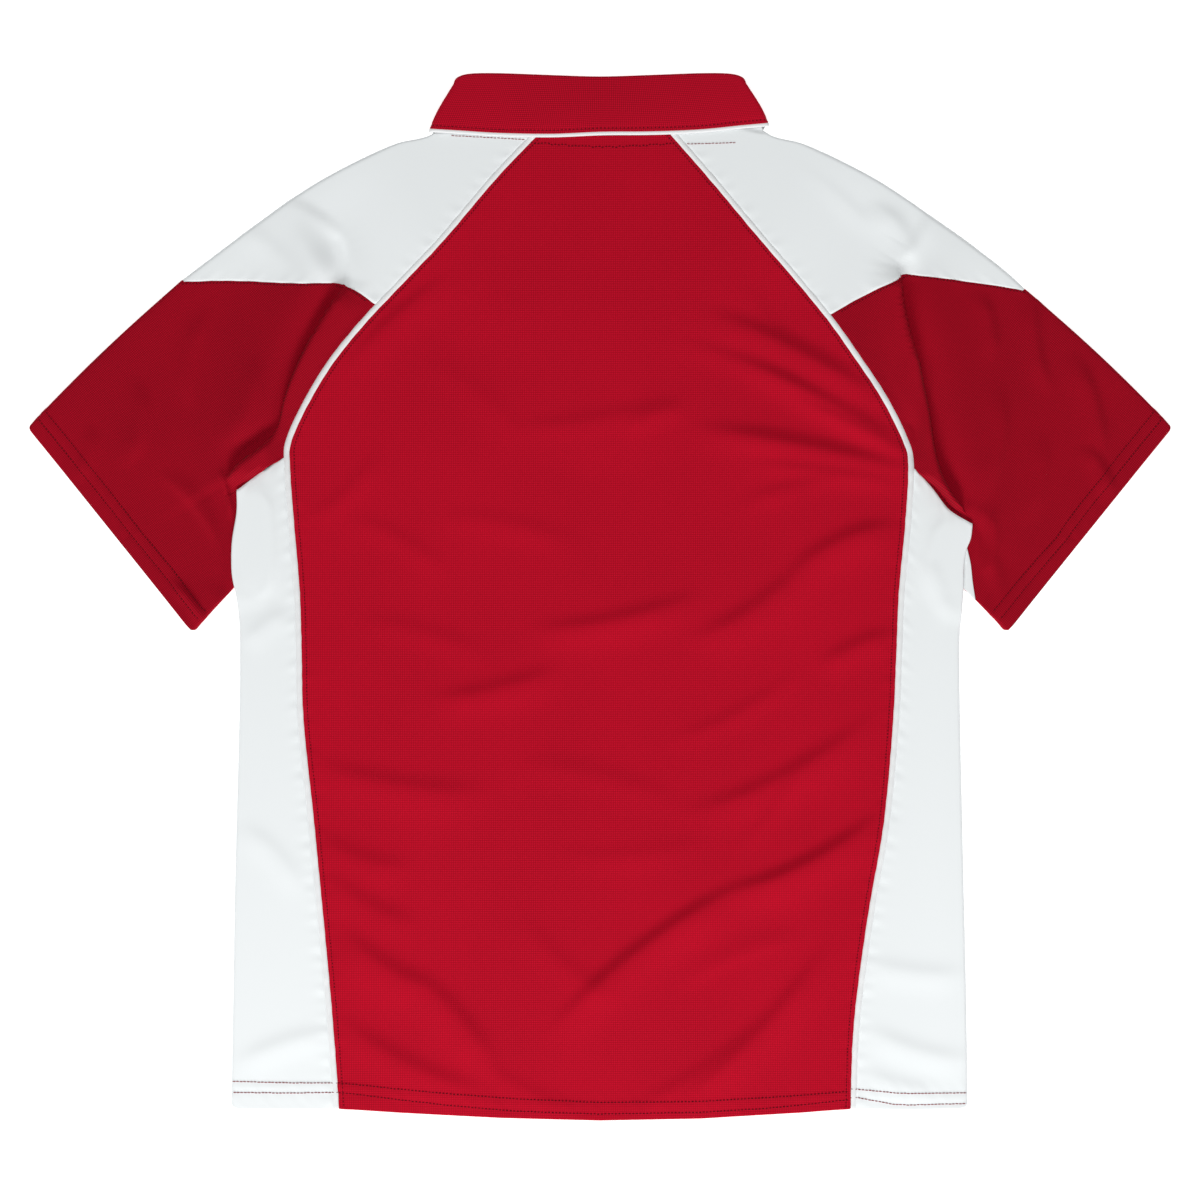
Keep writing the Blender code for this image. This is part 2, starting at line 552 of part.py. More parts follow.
def build_button(name, height):
    """A four-hole button that lies face down under the placket."""
    body = bmesh.new()
    bmesh.ops.create_cone(body, cap_ends=True, segments=BUTTON_SEGMENTS,
                          radius1=BUTTON_FACE_RADIUS, radius2=BUTTON_RADIUS,
                          depth=BUTTON_THICKNESS)
    mesh = bpy.data.meshes.new(name)
    body.to_mesh(mesh)
    body.free()
    disc = bpy.data.objects.new("disc", mesh)
    holes = bmesh.new()
    for number in range(BUTTON_HOLES):
        angle = 2 * math.pi * (number + 0.5) / BUTTON_HOLES
        made = bmesh.ops.create_cone(holes, cap_ends=True, segments=BUTTON_HOLE_SEGMENTS,
                                     radius1=BUTTON_HOLE_RADIUS, radius2=BUTTON_HOLE_RADIUS,
                                     depth=BUTTON_THICKNESS * 3)
        shift = (BUTTON_HOLE_SPREAD * math.cos(angle), BUTTON_HOLE_SPREAD * math.sin(angle), 0)
        bmesh.ops.translate(holes, verts=made["verts"], vec=shift)
    hole_mesh = bpy.data.meshes.new("holes")
    holes.to_mesh(hole_mesh)
    holes.free()
    cutter = bpy.data.objects.new("holes", hole_mesh)
    for piece in (disc, cutter):
        bpy.context.collection.objects.link(piece)
    cut = disc.modifiers.new("holes", "BOOLEAN")
    cut.operation = "DIFFERENCE"
    cut.object = cutter
    shape = disc.evaluated_get(bpy.context.evaluated_depsgraph_get()).to_mesh()
    points = np.array([vert.co for vert in shape.vertices])
    points += (0.0, height, BUTTON_THICKNESS / 2)
    faces = [list(face.vertices) for face in shape.polygons]
    for piece in (disc, cutter):
        bpy.data.objects.remove(piece)
    solid(name, points, faces, BUTTON_RED, BUTTON_ROUGHNESS)


def build_piping(side):
    """White strip in the back seam, from the neck to the hem."""
    lines = [side.beside_seam(SEAM_GAP + PIPING_WIDTH * part) for part in (0.0, 0.5, 1.0)]
    rows = np.stack(lines, axis=1)
    wall("piping_" + side.name, surface(rows, back_height(rows)), CLOTH, WHITE)


def shoulder_fold(side):
    """Return the stations where the shoulder's half circles start, and their normals."""
    edge = at_fraction(side.shoulder_edge, SHOULDER_STATIONS)
    out = normals_of(edge, side.turn)
    return inset_of(edge, out, back_height(edge, side), front_height(edge)), out


def side_fold(side):
    """Return the stations where the side panel's half circles start, and their normals."""
    heights = side.seam[NECK_SPANS + SLEEVE_SPANS:, 1]
    part = (heights[0] - heights) / (heights[0] - heights[-1])
    top, low = side.side_edge[0, 1], side.side_edge[-1, 1]
    edge = at_height(side.side_edge, top + (low - top) * part)
    out = normals_of(edge, side.turn)
    return inset_of(edge, out, back_height(edge), front_height(edge, over_tuck=True)), out


def sleeve_seam(side, gap, on_front=False):
    """Return the seam between shoulder and sleeve, from the edge in, moved towards the neck."""
    edge_point = shoulder_fold(side)[0][-1]
    if on_front:
        path = np.vstack([edge_point, side.front_seam(SEAM_GAP)[NECK_SPANS]])
    else:
        body_point = side.beside_piping()[NECK_SPANS]
        path = smooth_path(plan(SLEEVE_SEAM[side.name], edge_point, body_point))
    line = at_fraction(path, np.linspace(0.0, 1.0, SHOULDER_COLUMNS + 1))
    return line - gap * normals_of(line, side.turn)


def armpit_seam(side, gap, on_front=False):
    """Return the seam between sleeve and side panel, from the edge in, moved to the hem."""
    station = NECK_SPANS + SLEEVE_SPANS
    edge_point = side_fold(side)[0][0]
    beside = side.front_seam(SEAM_GAP) if on_front else side.beside_piping()
    path = smooth_path(plan(SIDE_TOP_SEAM[side.name], beside[station], edge_point))[::-1]
    line = at_fraction(path, np.linspace(0.0, 1.0, SIDE_COLUMNS + 1))
    return line + gap * normals_of(line, side.turn)


def build_shoulder(side):
    """White yoke: back seam, over the folded shoulder edge, to the front seam."""
    rows = slice(0, NECK_SPANS + 1)
    inner = side.beside_piping()[rows]
    front = side.front_seam(SEAM_GAP)[rows]
    fold, out = shoulder_fold(side)
    part = np.linspace(0.0, 1.0, SHOULDER_COLUMNS + 1)
    seam = sleeve_seam(side, SEAM_GAP / 2)
    front_end = sleeve_seam(side, SEAM_GAP / 2, on_front=True)
    back = lay_rows(inner, fold, part, last=seam[::-1])
    under = lay_rows(fold, front, part, last=front_end)
    upper = surface(back, back_height(back, side))
    lower = surface(under, front_height(under))
    bend = turn_round(upper[:, -1], lower[:, 0], out, TURN_SPANS)
    wall("shoulder_" + side.name, np.concatenate([upper, bend, lower], 1), CLOTH, WHITE)


def build_side(side):
    """White side panel: back seam, round the folded side edge, to the front seam."""
    rows = slice(NECK_SPANS + SLEEVE_SPANS, None)
    inner = side.beside_piping()[rows]
    front = side.front_seam(SEAM_GAP)[rows]
    fold, out = side_fold(side)
    part = np.linspace(0.0, 1.0, SIDE_COLUMNS + 1)
    seam = armpit_seam(side, SEAM_GAP / 2)
    front_end = armpit_seam(side, SEAM_GAP / 2, on_front=True)
    back = hem_rows(lay_rows(inner, fold, part, first=seam[::-1]))
    under = hem_rows(lay_rows(fold, front, part, first=front_end))
    upper = surface(back, back_height(back))
    lower = surface(under, front_height(under, over_tuck=True))
    bend = turn_round(upper[:, -1], lower[:, 0], out, TURN_SPANS)
    wall("side_" + side.name, np.concatenate([upper, bend, lower], 1), CLOTH, WHITE)


def sleeve_inner_edge(side, seam, beside, armpit):
    """Return a sleeve's inner edge in plan: three seams in turn, then the hidden tuck."""
    corner = side.side_edge[0] + (0.0, TUCK_CORNER_GAP)
    stations = beside[NECK_SPANS + 1:NECK_SPANS + SLEEVE_SPANS]
    tucked = np.linspace(0.0, 1.0, TUCK_COLUMNS + 1)[:, None]
    hidden = corner + (side.underarm[-1] - corner) * tucked
    return np.vstack([seam, stations, armpit[:0:-1], hidden])


def build_sleeve(side):
    """Red lower sleeve: a flattened tube from the cuff to the body, tucked at the armpit."""
    rows = np.array(SLEEVE_ROWS)
    top_edge = side.cuff[0] + (side.shoulder_edge[-1] - side.cuff[0]) * rows[:, None]
    top_out = normals_of(top_edge[::-1], side.turn)[::-1]
    top_edge = top_edge + top_out * (EDGE_BOW * np.sin(math.pi * rows))[:, None]
    low_edge = at_fraction(side.underarm, rows)
    low_out = normals_of(low_edge, side.turn)
    top_fold = inset_of(top_edge, top_out, sleeve_height(top_edge, side),
                        front_height(top_edge))
    low_fold = inset_of(low_edge, low_out, sleeve_height(low_edge, side),
                        front_height(low_edge))

    back_edge = sleeve_inner_edge(side, sleeve_seam(side, -SEAM_GAP / 2),
                                  side.beside_piping(), armpit_seam(side, -SEAM_GAP / 2))
    front_edge = sleeve_inner_edge(side, sleeve_seam(side, -SEAM_GAP / 2, on_front=True),
                                   side.front_seam(SEAM_GAP),
                                   armpit_seam(side, -SEAM_GAP / 2, on_front=True))
    index = np.arange(len(back_edge))
    share = np.interp(index, CUFF_SHARE["station"], CUFF_SHARE["share"])
    near_top = 1.0 - smooth_step(index, 0, SHOULDER_COLUMNS)
    near_low = np.interp(index, TUCK_PULL["station"], TUCK_PULL["part"])
    layers = []
    for inner in (back_edge, front_edge):
        inner[-1] = low_fold[-1]
        cuff = top_fold[0] + (low_fold[0] - top_fold[0]) * share[:, None]
        line = cuff + (inner - cuff) * rows[:, None, None]
        top_pull = (top_fold - line[:, 0])[:, None]
        low_pull = (low_fold - line[:, -1])[:, None]
        near_cuff = 1.0 - rows[:, None]
        off_tuck = 1.0 - rows[:, None] ** TUCK_PULL_POWER
        line = line + top_pull * (near_top * near_cuff)[..., None]
        line = line + low_pull * (near_low * off_tuck)[..., None]
        line[:-1, 0] = top_fold[:-1]
        line[:, -1] = low_fold
        layers.append(line)
    upper = surface(layers[0], sleeve_height(layers[0], side))
    lower = surface(layers[1], front_height(layers[1]))[:, ::-1]
    low_bend = turn_round(upper[:, -1], lower[:, 0], low_out, TURN_SPANS)
    top_bend = turn_round(upper[:, 0], lower[:, -1], top_out, TURN_SPANS)[:, ::-1]
    tube = np.concatenate([upper, low_bend, lower, top_bend], axis=1)
    wall("sleeve_" + side.name, tube, CLOTH, RED, ring=True)


def collar_front_line(level, sign, side_point):
    """Return the plan points of a collar level from the front's middle to the neck's side."""
    spans = NECKLINE_SPANS + NECK_SIDE_SPANS
    start = np.array([sign * COLLAR["front_x"][level], COLLAR["front_y"][level]])
    if level != SEAM_LEVEL:
        return at_fraction(np.vstack([start, side_point]), np.linspace(0.0, 1.0, spans + 1))
    corner = abs(BODY_SEAM["left"][0] + FRONT_SEAM_SHIFT["left"][0])
    x = sign * np.linspace(abs(start[0]), corner, NECKLINE_SPANS + 1)
    neckline = np.column_stack([x, front_neck_y(x)])
    sides = neckline[-1] + (side_point - neckline[-1]) * np.linspace(
        0.0, 1.0, NECK_SIDE_SPANS + 1)[1:, None]
    line = np.vstack([neckline, sides])
    line[:-1] += NECK_GAP * normals_of(line, -sign)[:-1]
    return line


def collar_ring(level):
    """Return one level of the collar, from its left front end round the back to the right."""
    size = {name: values[level] for name, values in COLLAR.items()}
    inset = (size["z_back"] - size["z_front"] + RIB) / 2
    scale = size["right"] / COLLAR["right"][SEAM_LEVEL]
    stops = np.cumsum((0, NECK_SIDE_SPANS, NECK_BACK_SPANS, NECK_SIDE_SPANS))
    x = np.interp(np.arange(stops[-1] + 1), stops,
                  (size["left"] + inset, BODY_SEAM["left"][0] * scale,
                   BODY_SEAM["right"][0] * scale, size["right"] - inset))
    y = np.interp(x, COLLAR_LINES[level]["x"], COLLAR_LINES[level]["y"])
    back = np.column_stack([x, y, np.full(len(x), size["z_back"])])
    parts = []
    for sign, corner in ((-1.0, back[0]), (1.0, back[-1])):
        drop = LEAF_DROP if level == FALL_EDGE else 0.0
        line = collar_front_line(level, sign, corner[:2] - (0.0, drop))
        front = surface(line, np.full(len(line), size["z_front"]))
        bend = turn_round(corner[None], front[-1:], np.array([[sign, 0.0]]), TURN_SPANS)[0]
        parts.append(np.vstack([front, bend[::-1]]))
    return np.vstack([parts[0], back, parts[1][::-1]])


def build_collar():
    """The collar in one wall: stand, fold and fall, all round the neck, and its edge."""
    seam, stand, fall, edge = (collar_ring(level) for level in range(4))
    rise = np.linspace(0.0, 1.0, STAND_ROWS + 1)[:, None, None]
    hang = np.linspace(0.0, 1.0, FALL_ROWS + 1)[:, None, None]
    angle = (np.arange(1, FOLD_ROWS) * math.pi / FOLD_ROWS)[:, None, None]
    run = np.gradient(stand, axis=0)
    slant = np.hypot(run[:, 0], run[:, 1]) / np.maximum(np.abs(run[:, 0]), 1e-6)
    ends = NECKLINE_SPANS + NECK_SIDE_SPANS
    slant[ends:-ends] = 1.0
    radius = (np.linalg.norm(fall - stand, axis=1) / 2 * slant)[:, None]
    fold = (stand + (fall - stand) * (1.0 - np.cos(angle)) / 2
            + np.sin(angle) * radius * np.array([0.0, 1.0, 0.0]))
    grid = np.concatenate([seam + (stand - seam) * rise, fold, fall + (edge - fall) * hang])
    wall("collar", grid, RIB, RED)

    away = edge - fall
    away /= np.linalg.norm(away, axis=1)[:, None]
    width = np.array([NECK_GAP, NECK_GAP + COLLAR_PIPING_WIDTH])[:, None, None]
    wall("collar_piping", edge + away * width, CLOTH, WHITE)


def main():
    """Clear the scene and build every piece."""
    for item in list(bpy.data.objects):
        bpy.data.objects.remove(item)
    build_back()
    build_front()
    for number, height in enumerate(BUTTON_HEIGHTS, start=1):
        build_button("button_%d" % number, height)
    for side in SIDES:
        build_piping(side)
        build_shoulder(side)
        build_side(side)
        build_sleeve(side)
    build_collar()


SIDES = (Side("left", 1.0), Side("right", -1.0))
main()
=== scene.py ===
"""Looks of a short-sleeved raglan polo shirt that lies flat on its front, collar folded.

Tables and sizes are in millimetres, in the same frame as the solids: +Y to the neck, +X to
the right as the back is seen from above, +Z up. Each cloth piece is a thin shell on the
form of its solid, cut by the same seams, with finer folds, rolled seams, hems and stitches.
"""
import logging
import math
from dataclasses import dataclass, field
from enum import Enum

import bpy
import numpy as np
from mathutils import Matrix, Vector


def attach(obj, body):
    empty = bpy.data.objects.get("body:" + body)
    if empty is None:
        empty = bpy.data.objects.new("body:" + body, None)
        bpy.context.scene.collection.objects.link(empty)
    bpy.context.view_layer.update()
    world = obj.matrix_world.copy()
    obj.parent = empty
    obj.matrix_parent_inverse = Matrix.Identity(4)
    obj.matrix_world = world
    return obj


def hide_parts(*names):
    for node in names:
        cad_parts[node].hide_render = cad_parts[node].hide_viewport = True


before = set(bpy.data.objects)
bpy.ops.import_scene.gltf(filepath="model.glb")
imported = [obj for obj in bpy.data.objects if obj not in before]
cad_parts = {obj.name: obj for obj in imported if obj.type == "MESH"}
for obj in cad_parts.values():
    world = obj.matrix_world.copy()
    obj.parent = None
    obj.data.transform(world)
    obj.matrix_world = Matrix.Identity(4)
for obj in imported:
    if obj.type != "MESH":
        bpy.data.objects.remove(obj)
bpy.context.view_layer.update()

LOG = logging.getLogger("polo_shirt")
Array = np.ndarray
MM = 0.001
PATH_STEPS = 6              # points of a smooth curve between two of its own points
CHUNK = 4000                # points whose distances are worked out at once
SEED = 11
SEAM_STEPS = (0.3, 0.7, 1.2, 1.9, 3.0)    # stations this far from a rolled seam or edge
TURN_SPANS = 9              # spans of the half circle round a folded edge
EDGE_SPANS = 4              # spans of the bead that closes a cloth edge
EDGE_ROUND = 0.8            # it stands out by this part of half the cloth's thickness


class Hand(Enum):
    """The two sides of the shirt, as its back is seen from above."""

    LEFT = "left"
    RIGHT = "right"


class Grain(Enum):
    """How the cloth's wales run in a cut piece: the turn of the piece's grain, in degrees."""

    BODY = 0.0
    SLEEVE = 51.0
    YOKE = 38.0


def table(columns: str, *rows: tuple) -> dict[str, Array]:
    """Name the columns of a table.

    Args:
        columns: The column names, parted by spaces.
        rows: The rows of numbers.
    Returns:
        An array for each column name.
    """
    return dict(zip(columns.split(), np.array(rows, float).T))


# Layers of the laid shirt
CLOTH = 1.0                 # wall of the body cloth
RIB = 1.4                   # wall of the collar
FLOOR_LAYER = CLOTH / 2     # middle of the layer that rests on the floor
BACK_LAYER = 2.4            # middle of the back layer, away from folds
LEAST_RISE = 1.35           # middle of the back layer over that of the layer below, at least
EDGE_LOFT = 1.9             # the back layer stands this much higher beside a folded edge
EDGE_REACH = 27.0
NECK_CENTRE_Y = 344.0
NECK_HALF_WIDTH = 146.0
NECK_HALF_DEPTH = 127.0
NECK_FRONT_LIFT = 1.8       # the collar lifts the front layer by this much
NECK_FRONT_FADE = 1.2       # up to this place outside its edge, which is at 1
NECK_BACK_LIFT = 2.0
NECK_BACK_FADE = 1.45
FRONT_NECK_Y = 270.0
FRONT_NECK_BEND = 1.8       # power of the front neckline's curve
PLACKET_WIDTH = 32.0
PLACKET_END_Y = 137.0
PLACKET_LIFT_MARGIN = 4.0
PLACKET_LIFT_FADE = 24.0
PLACKET_BACK_LIFT = 1.6
TUCKED_LAYER = 1.9          # middle of a sleeve's back layer where it is tucked
TUCK_LIFT = 2.8             # a tucked sleeve lifts the layer over it by this much
TUCK_BACK_LIFT = 0.8
TUCK_STRETCH = (0.5, 0.9)   # parts of the underarm between which it is tucked
TUCK_NEAR = 16.0
TUCK_FAR = 31.0
TUCK_MARGIN = 2.0
LIP_HEIGHT = 9.5            # the body's cloth stands this high beside a sleeve's valley
SHOULDER_LIP = 0.18         # the part of it that it keeps on the shoulders
LIP_FLANK = 2.6             # half width of the steep flank between them
LIP_REACH = 15.0
LIP_OVERHANG = 4.2          # the lip leans this far over the valley
LEAN_REACH = 17.0           # and its cloth moves with it up to here
# Parts of the valley's run between which the lip rises
LIP_START = {Hand.LEFT: (0.2, 0.28), Hand.RIGHT: (0.17, 0.24)}
VALLEY_DEPTH = 0.6
VALLEY_WIDTH = 15.0
SWELL_HEIGHT = 8.5          # the sleeve's cloth swells beyond the valley
SWELL_REACH = 46.0
LIP_SEAM_FADE = 13.0        # lip and valley end this far from the raglan seam
LIP_SIDE_FADE = 3.5         # and this far from the side panel
SWELL_START = (-3.0, 7.0)   # the swell begins between these distances outside the valley
BEAD_STEP = 5.0             # from one bell of the valley and swell to the next
PIPING_WIDTH = 4.1
SEAM_GAP = 0.12             # between a seam and each of its two pieces

# The back panel's side edges, from under the collar to the hem
BODY_SEAM = table(
    "y left right", (360, -43.3, 50.3), (353.5, -49.5, 56), (321.5, -80, 84), (275, -119.5, 123),
    (244.5, -148.5, 149.5), (213.5, -178, 175), (182.5, -203.5, 197), (152, -222.5, 217),
    (121, -237, 232.5), (102, -238.5, 237), (59.5, -235.5, 235), (5.5, -231, 230),
    (-40.5, -229.5, 228), (-94.5, -228, 225.5), (-171.5, -220, 218.5), (-248.5, -212.5, 205.5),
    (-325.5, -205.5, 195.5), (-393, -200.5, 192.5))
NECK_SEAM_Y = 357.5
SLEEVE_SEAM_Y = {Hand.LEFT: 222.5, Hand.RIGHT: 215.0}
ARMPIT_Y = {Hand.LEFT: 108.0, Hand.RIGHT: 99.5}
FRONT_NECK_SIDE = (82.5, 313.5)
FRONT_SEAM_END_Y = 222.5    # above this height the front seam leaves the back one's line
# Where neck, sleeve seam, armpit and hem come in the rows of the back and front panels
PANEL_PARTS = (0.0, 0.18, 0.33, 1.0)

# Folded edges and seams in plan, each from the neck outwards or downwards
SHOULDER_EDGE = {
    Hand.LEFT: table(
        "x y", (-125.5, 363), (-127, 358), (-131.5, 355), (-139.5, 352.6), (-158, 348.5),
        (-185, 336.5), (-213.5, 321.5), (-238, 306), (-259.5, 290.5), (-280.5, 275), (-311, 252),
        (-321, 244.5)),
    Hand.RIGHT: table(
        "x y", (124.5, 364.5), (126, 359.5), (130.5, 355.8), (138.5, 352.9), (157, 348.5),
        (184, 336.5), (212.5, 321.5), (236.5, 306), (258.5, 290.5), (280.5, 275), (310.5, 252),
        (326.5, 237.5)),
}
SHOULDER_STATIONS = (0.0, 0.035, 0.09, 0.22, 0.40, 0.60, 0.80, 1.0)
SLEEVE_SEAM = {
    Hand.LEFT: table(
        "x y", (-282.5, 243.5), (-231, 241), (-203.5, 241.8), (-196.5, 240), (-184, 233.5)),
    Hand.RIGHT: table(
        "x y", (311, 238.5), (286.5, 242), (267, 244.5), (240, 248), (235, 249), (229, 247),
        (222.5, 242), (212, 236.5), (197, 229)),
}
SIDE_TOP_SEAM = {
    Hand.LEFT: table("x y", (-260.5, 96)),
    Hand.RIGHT: table("x y", (249.5, 90.5), (256.5, 82.5), (268.5, 67)),
}
SIDE_EDGE = {
    Hand.LEFT: table(
        "x y", (-279.5, 82.5), (-279.5, 65.5), (-283, 44), (-283.5, 25), (-282.5, 13.5),
        (-279.5, -0.5), (-277.5, -20), (-277, -36.5), (-277.5, -94.5), (-280.5, -210),
        (-282.5, -325.5), (-283.5, -392.5)),
    Hand.RIGHT: table(
        "x y", (286.5, 56.5), (285.3, 45.5), (281.6, 36), (279.8, 24), (279.6, 9), (278.2, -12),
        (276.5, -36.5), (277, -94.5), (279.5, -210), (282, -325.5), (282.5, -392.5)),
}
CUFF = {
    Hand.LEFT: table("x y", (-440, 131), (-313, -26.5)),
    Hand.RIGHT: table("x y", (440, 131), (312.5, -26.5)),
}
UNDERARM = {
    Hand.LEFT: table("x y", (-313, -26.5), (-281, 8), (-273.5, 18), (-272.5, 44), (-274.5, 77)),
    Hand.RIGHT: table("x y", (312.5, -26.5), (288, -1), (275, 12), (273.5, 30), (278.5, 51)),
}
CREASE = {
    Hand.LEFT: table(
        "x y", (-227, 286.5), (-200, 271.5), (-197, 241), (-213.5, 212), (-230, 179.5),
        (-241, 152), (-247, 132), (-256, 117), (-272, 105), (-290.5, 91.5)),
    Hand.RIGHT: table(
        "x y", (247, 282), (243, 265), (231, 249), (234, 216), (243, 182), (250, 148),
        (254.5, 116), (260, 96), (266.5, 81.5), (275, 70), (287.5, 59.5)),
}
# Stations of a sleeve's inner edge: on the shoulder up to the second one, beside the back
# panel up to the third, on the side panel up to the fourth, and tucked up to the last
SLEEVE_STATIONS = (0.0, 7.0, 14.0, 18.0, 22.0)
# Share of the cuff before a station, and the part of the underarm's bend that it follows
CUFF_SHARE = table("station share", (0, 0), (7, 0.27), (14, 0.5), (18, 0.56), (22, 1))
TUCK_PULL = table("station part", (16, 0), (18, 0.15), (20, 0.6), (22, 1))
HEM = table(
    "x y", (-283.5, -392.5), (-240, -393.5), (-200, -393), (-154, -396), (-77, -400), (0, -402),
    (77, -400.5), (154, -396), (192.5, -393), (240, -394), (282.5, -392.5))
HEM_BEND = 60.0             # the seams follow the hem's curve this far up

# Folds of the back layer: ends, sideways bend, half width and height of each ridge, and how
# much wider its right flank is than its left one, seen from its first end
FOLDS = table(
    "x0 y0 x1 y1 bend width height skew", (70, 222, 214, 151, 5, 11, 2.3, 0.5),
    (108, 181, 234, 113, 3, 9, 1.8, 0.4), (84, 127, 236, 96, 3, 9, 2, 0.4),
    (224, 54, 150, 18, -6, 14, 1.9, -0.5), (160, 24, 77, -33, 5, 15, 1.7, -0.5),
    (72, -2, -45, -27, 4, 12, 1.4, -0.4), (-35, -58, -125, -80, 3, 12, 1.2, -0.4),
    (224, -29, 172, -54, -3, 11, 1.3, -0.4), (206, -98, 77, -166, 7, 15, 1.6, -0.5),
    (212, -172, 104, -228, 6, 15, 2.2, -0.6), (112, -222, -30, -328, -8, 15, 2.2, -0.6),
    (174, -274, 66, -388, 6, 14, 1.7, -0.5), (-218, -131, -92, -152, -5, 12, 1.1, 0.5),
    (-218, -187, -150, -211, -4, 12, 1, 0.5), (-212, -215, -146, -254, -4, 12, 1.1, 0.5),
    (-196, -262, -134, -302, -4, 13, 1.6, 0.6), (-142, -294, -84, -360, 4, 12, 1.6, 0.6),
    (-200, -328, -92, -382, -6, 11, 1.2, 0.5), (-84, 262, -190, 178, -8, 12, 1.2, -0.5),
    (-272, -36, -240, -12, 2, 8, 0.5, 0.3), (-274, -178, -230, -226, 4, 9, 0.5, 0.3),
    (-278, -360, -206, -336, 4, 9, 0.6, 0.3), (204, -282, 278, -291, -3, 9, 0.5, 0.3),
    (206, -334, 282, -357, -4, 9, 0.6, 0.3), (204, -367, 256, -381, -2, 8, 0.5, 0.3),
    (250, 30, 266, -18, 3, 7, 0.4, 0.2))
# Slighter creases between the main ones
CREASES = table(
    "x0 y0 x1 y1 bend width height skew", (-120, 60, -20, 40, 5, 9, 0.5, 0.2),
    (-60, 130, 60, 150, -4, 8, 0.6, 0.3), (20, 128, 64, 146, 3, 7, 0.7, 0.2),
    (-180, -20, -90, -45, 4, 9, 0.5, 0.3), (-60, -130, 60, -160, 6, 10, 0.5, 0.2),
    (-30, -200, 80, -190, -5, 9, 0.4, 0.2), (150, -60, 60, -110, 5, 8, 0.6, -0.3),
    (190, 90, 110, 70, -4, 8, 0.6, -0.3), (-190, 60, -120, 20, 4, 8, 0.5, 0.3),
    (120, -330, 30, -392, 5, 8, 0.7, -0.3), (-60, -250, 10, -310, -5, 9, 0.5, 0.3),
    (160, -120, 110, -190, 5, 9, 0.6, -0.4), (10, 320, 40, 250, 4, 9, 0.4, 0.2),
    (-50, 310, -90, 240, -5, 8, 0.6, -0.3), (80, 262, 140, 196, 4, 9, 0.6, 0.3),
    (-130, 180, -60, 120, 5, 10, 0.4, 0.2), (-90, -360, -20, -395, -4, 8, 0.5, 0.3),
    (60, -300, 150, -262, 5, 9, 0.5, -0.3), (-60, 304, -20, 280, 3, 7, 0.3, 0.2),
    (-170, 110, -220, 60, 4, 8, 0.6, -0.3), (366, 182, 386, 112, 4, 7, 1.7, 0.5),
    (334, 228, 344, 162, -4, 6, 1.5, 0.5), (293, 232, 302, 186, 3, 6, 1.3, 0.5),
    (308, 158, 298, 84, 5, 7, 1.3, 0.5), (374, 114, 392, 78, 3, 6, 1.3, 0.4),
    (301, 66, 306, 2, -3, 7, 1.6, 0.5), (340, 122, 330, 60, 4, 8, 1, 0.4),
    (247, 186, 240, 106, 0, 6, -2, 0), (-332, 92, -290, 34, 5, 8, 1.4, -0.4),
    (-327, 10, -306, -18, 2, 4, 1.6, 0.3), (-352, 162, -362, 104, 5, 7, 1.3, 0.5),
    (-304, 216, -316, 150, -5, 7, 1.2, 0.4), (-264, 178, -282, 120, 4, 8, 1, 0.3),
    (-390, 128, -398, 92, 2, 6, 0.9, 0.3), (95, 344, 162, 324, 5, 6, 0.5, 0.3),
    (148, 330, 204, 286, 4, 7, 0.4, 0.3), (-88, 342, -142, 344, 6, 6, 0.5, 0.3),
    (-230, 286, -203, 242, -4, 10, 0.6, -0.3), (212, 300, 242, 252, 6, 10, 1.2, 0.5),
    (-276, 282, -240, 252, 4, 8, 0.4, 0.3), (60, 196, 176, 148, 4, 7, 0.7, 0.3),
    (118, 101, 230, 84, 3, 6, 0.8, 0.3), (150, 150, 238, 108, 2, 5, 0.7, 0.3),
    (60, 262, 110, 236, 3, 7, 0.6, 0.3))
# The sleeves' small folds beside the side panels' upper corners
BEAK = table(
    "x0 y0 x1 y1 bend width height skew", (-291, 96, -284, 62, 1, 2.2, 1.2, 0),
    (292, 66, 291, 24, -1, 3, 0.6, 0))
FOLD_GAIN = 1.75            # folds of the looks stand this much higher than the solids' ones
FOLD_RISE = (-0.15, 0.3)    # a ridge rises between these parts of its length
FOLD_END = (0.7, 1.15)      # and sinks between these


def smooth_step(value: Array | float, low: float, high: float) -> Array:
    """Rise from 0 at low to 1 at high along the S curve 3t^2 - 2t^3.

    Args:
        value: Where the curve is read.
        low: Where it starts to rise.
        high: Where it has risen.
    Returns:
        The curve's height at each value.
    """
    part = np.clip((value - low) / (high - low), 0.0, 1.0)
    return part * part * (3.0 - 2.0 * part)


def plateau(value: Array, rise: tuple[float, float], fall: tuple[float, float]) -> Array:
    """Rise as the S curve between the first two values and fall between the other two."""
    return smooth_step(value, *rise) * (1.0 - smooth_step(value, *fall))


def unit(vectors: Array) -> Array:
    """Scale vectors to length 1."""
    return vectors / np.maximum(np.linalg.norm(vectors, axis=-1, keepdims=True), 1e-9)


def add_up(slots: Array, vectors: Array, count: int) -> Array:
    """Sum the vectors that belong to each of count slots."""
    return np.column_stack([np.bincount(slots, column, minlength=count) for column in vectors.T])


def numbers(*shape: int) -> Array:
    """Number the points of a grid."""
    return np.arange(math.prod(shape)).reshape(shape)


def quads_of(number: Array) -> Array:
    """Gather the four corners of each cell of a grid of numbers, in a new last axis."""
    return np.stack([number[..., :-1, :-1], number[..., 1:, :-1], number[..., 1:, 1:],
                     number[..., :-1, 1:]], -1)


def union(*lifts: Array) -> Array:
    """Blend lifts from 0 to 1 into one: 1 minus the product of what each leaves."""
    rest = 1.0
    for lift in lifts:
        rest = rest * (1.0 - lift)
    return 1.0 - rest


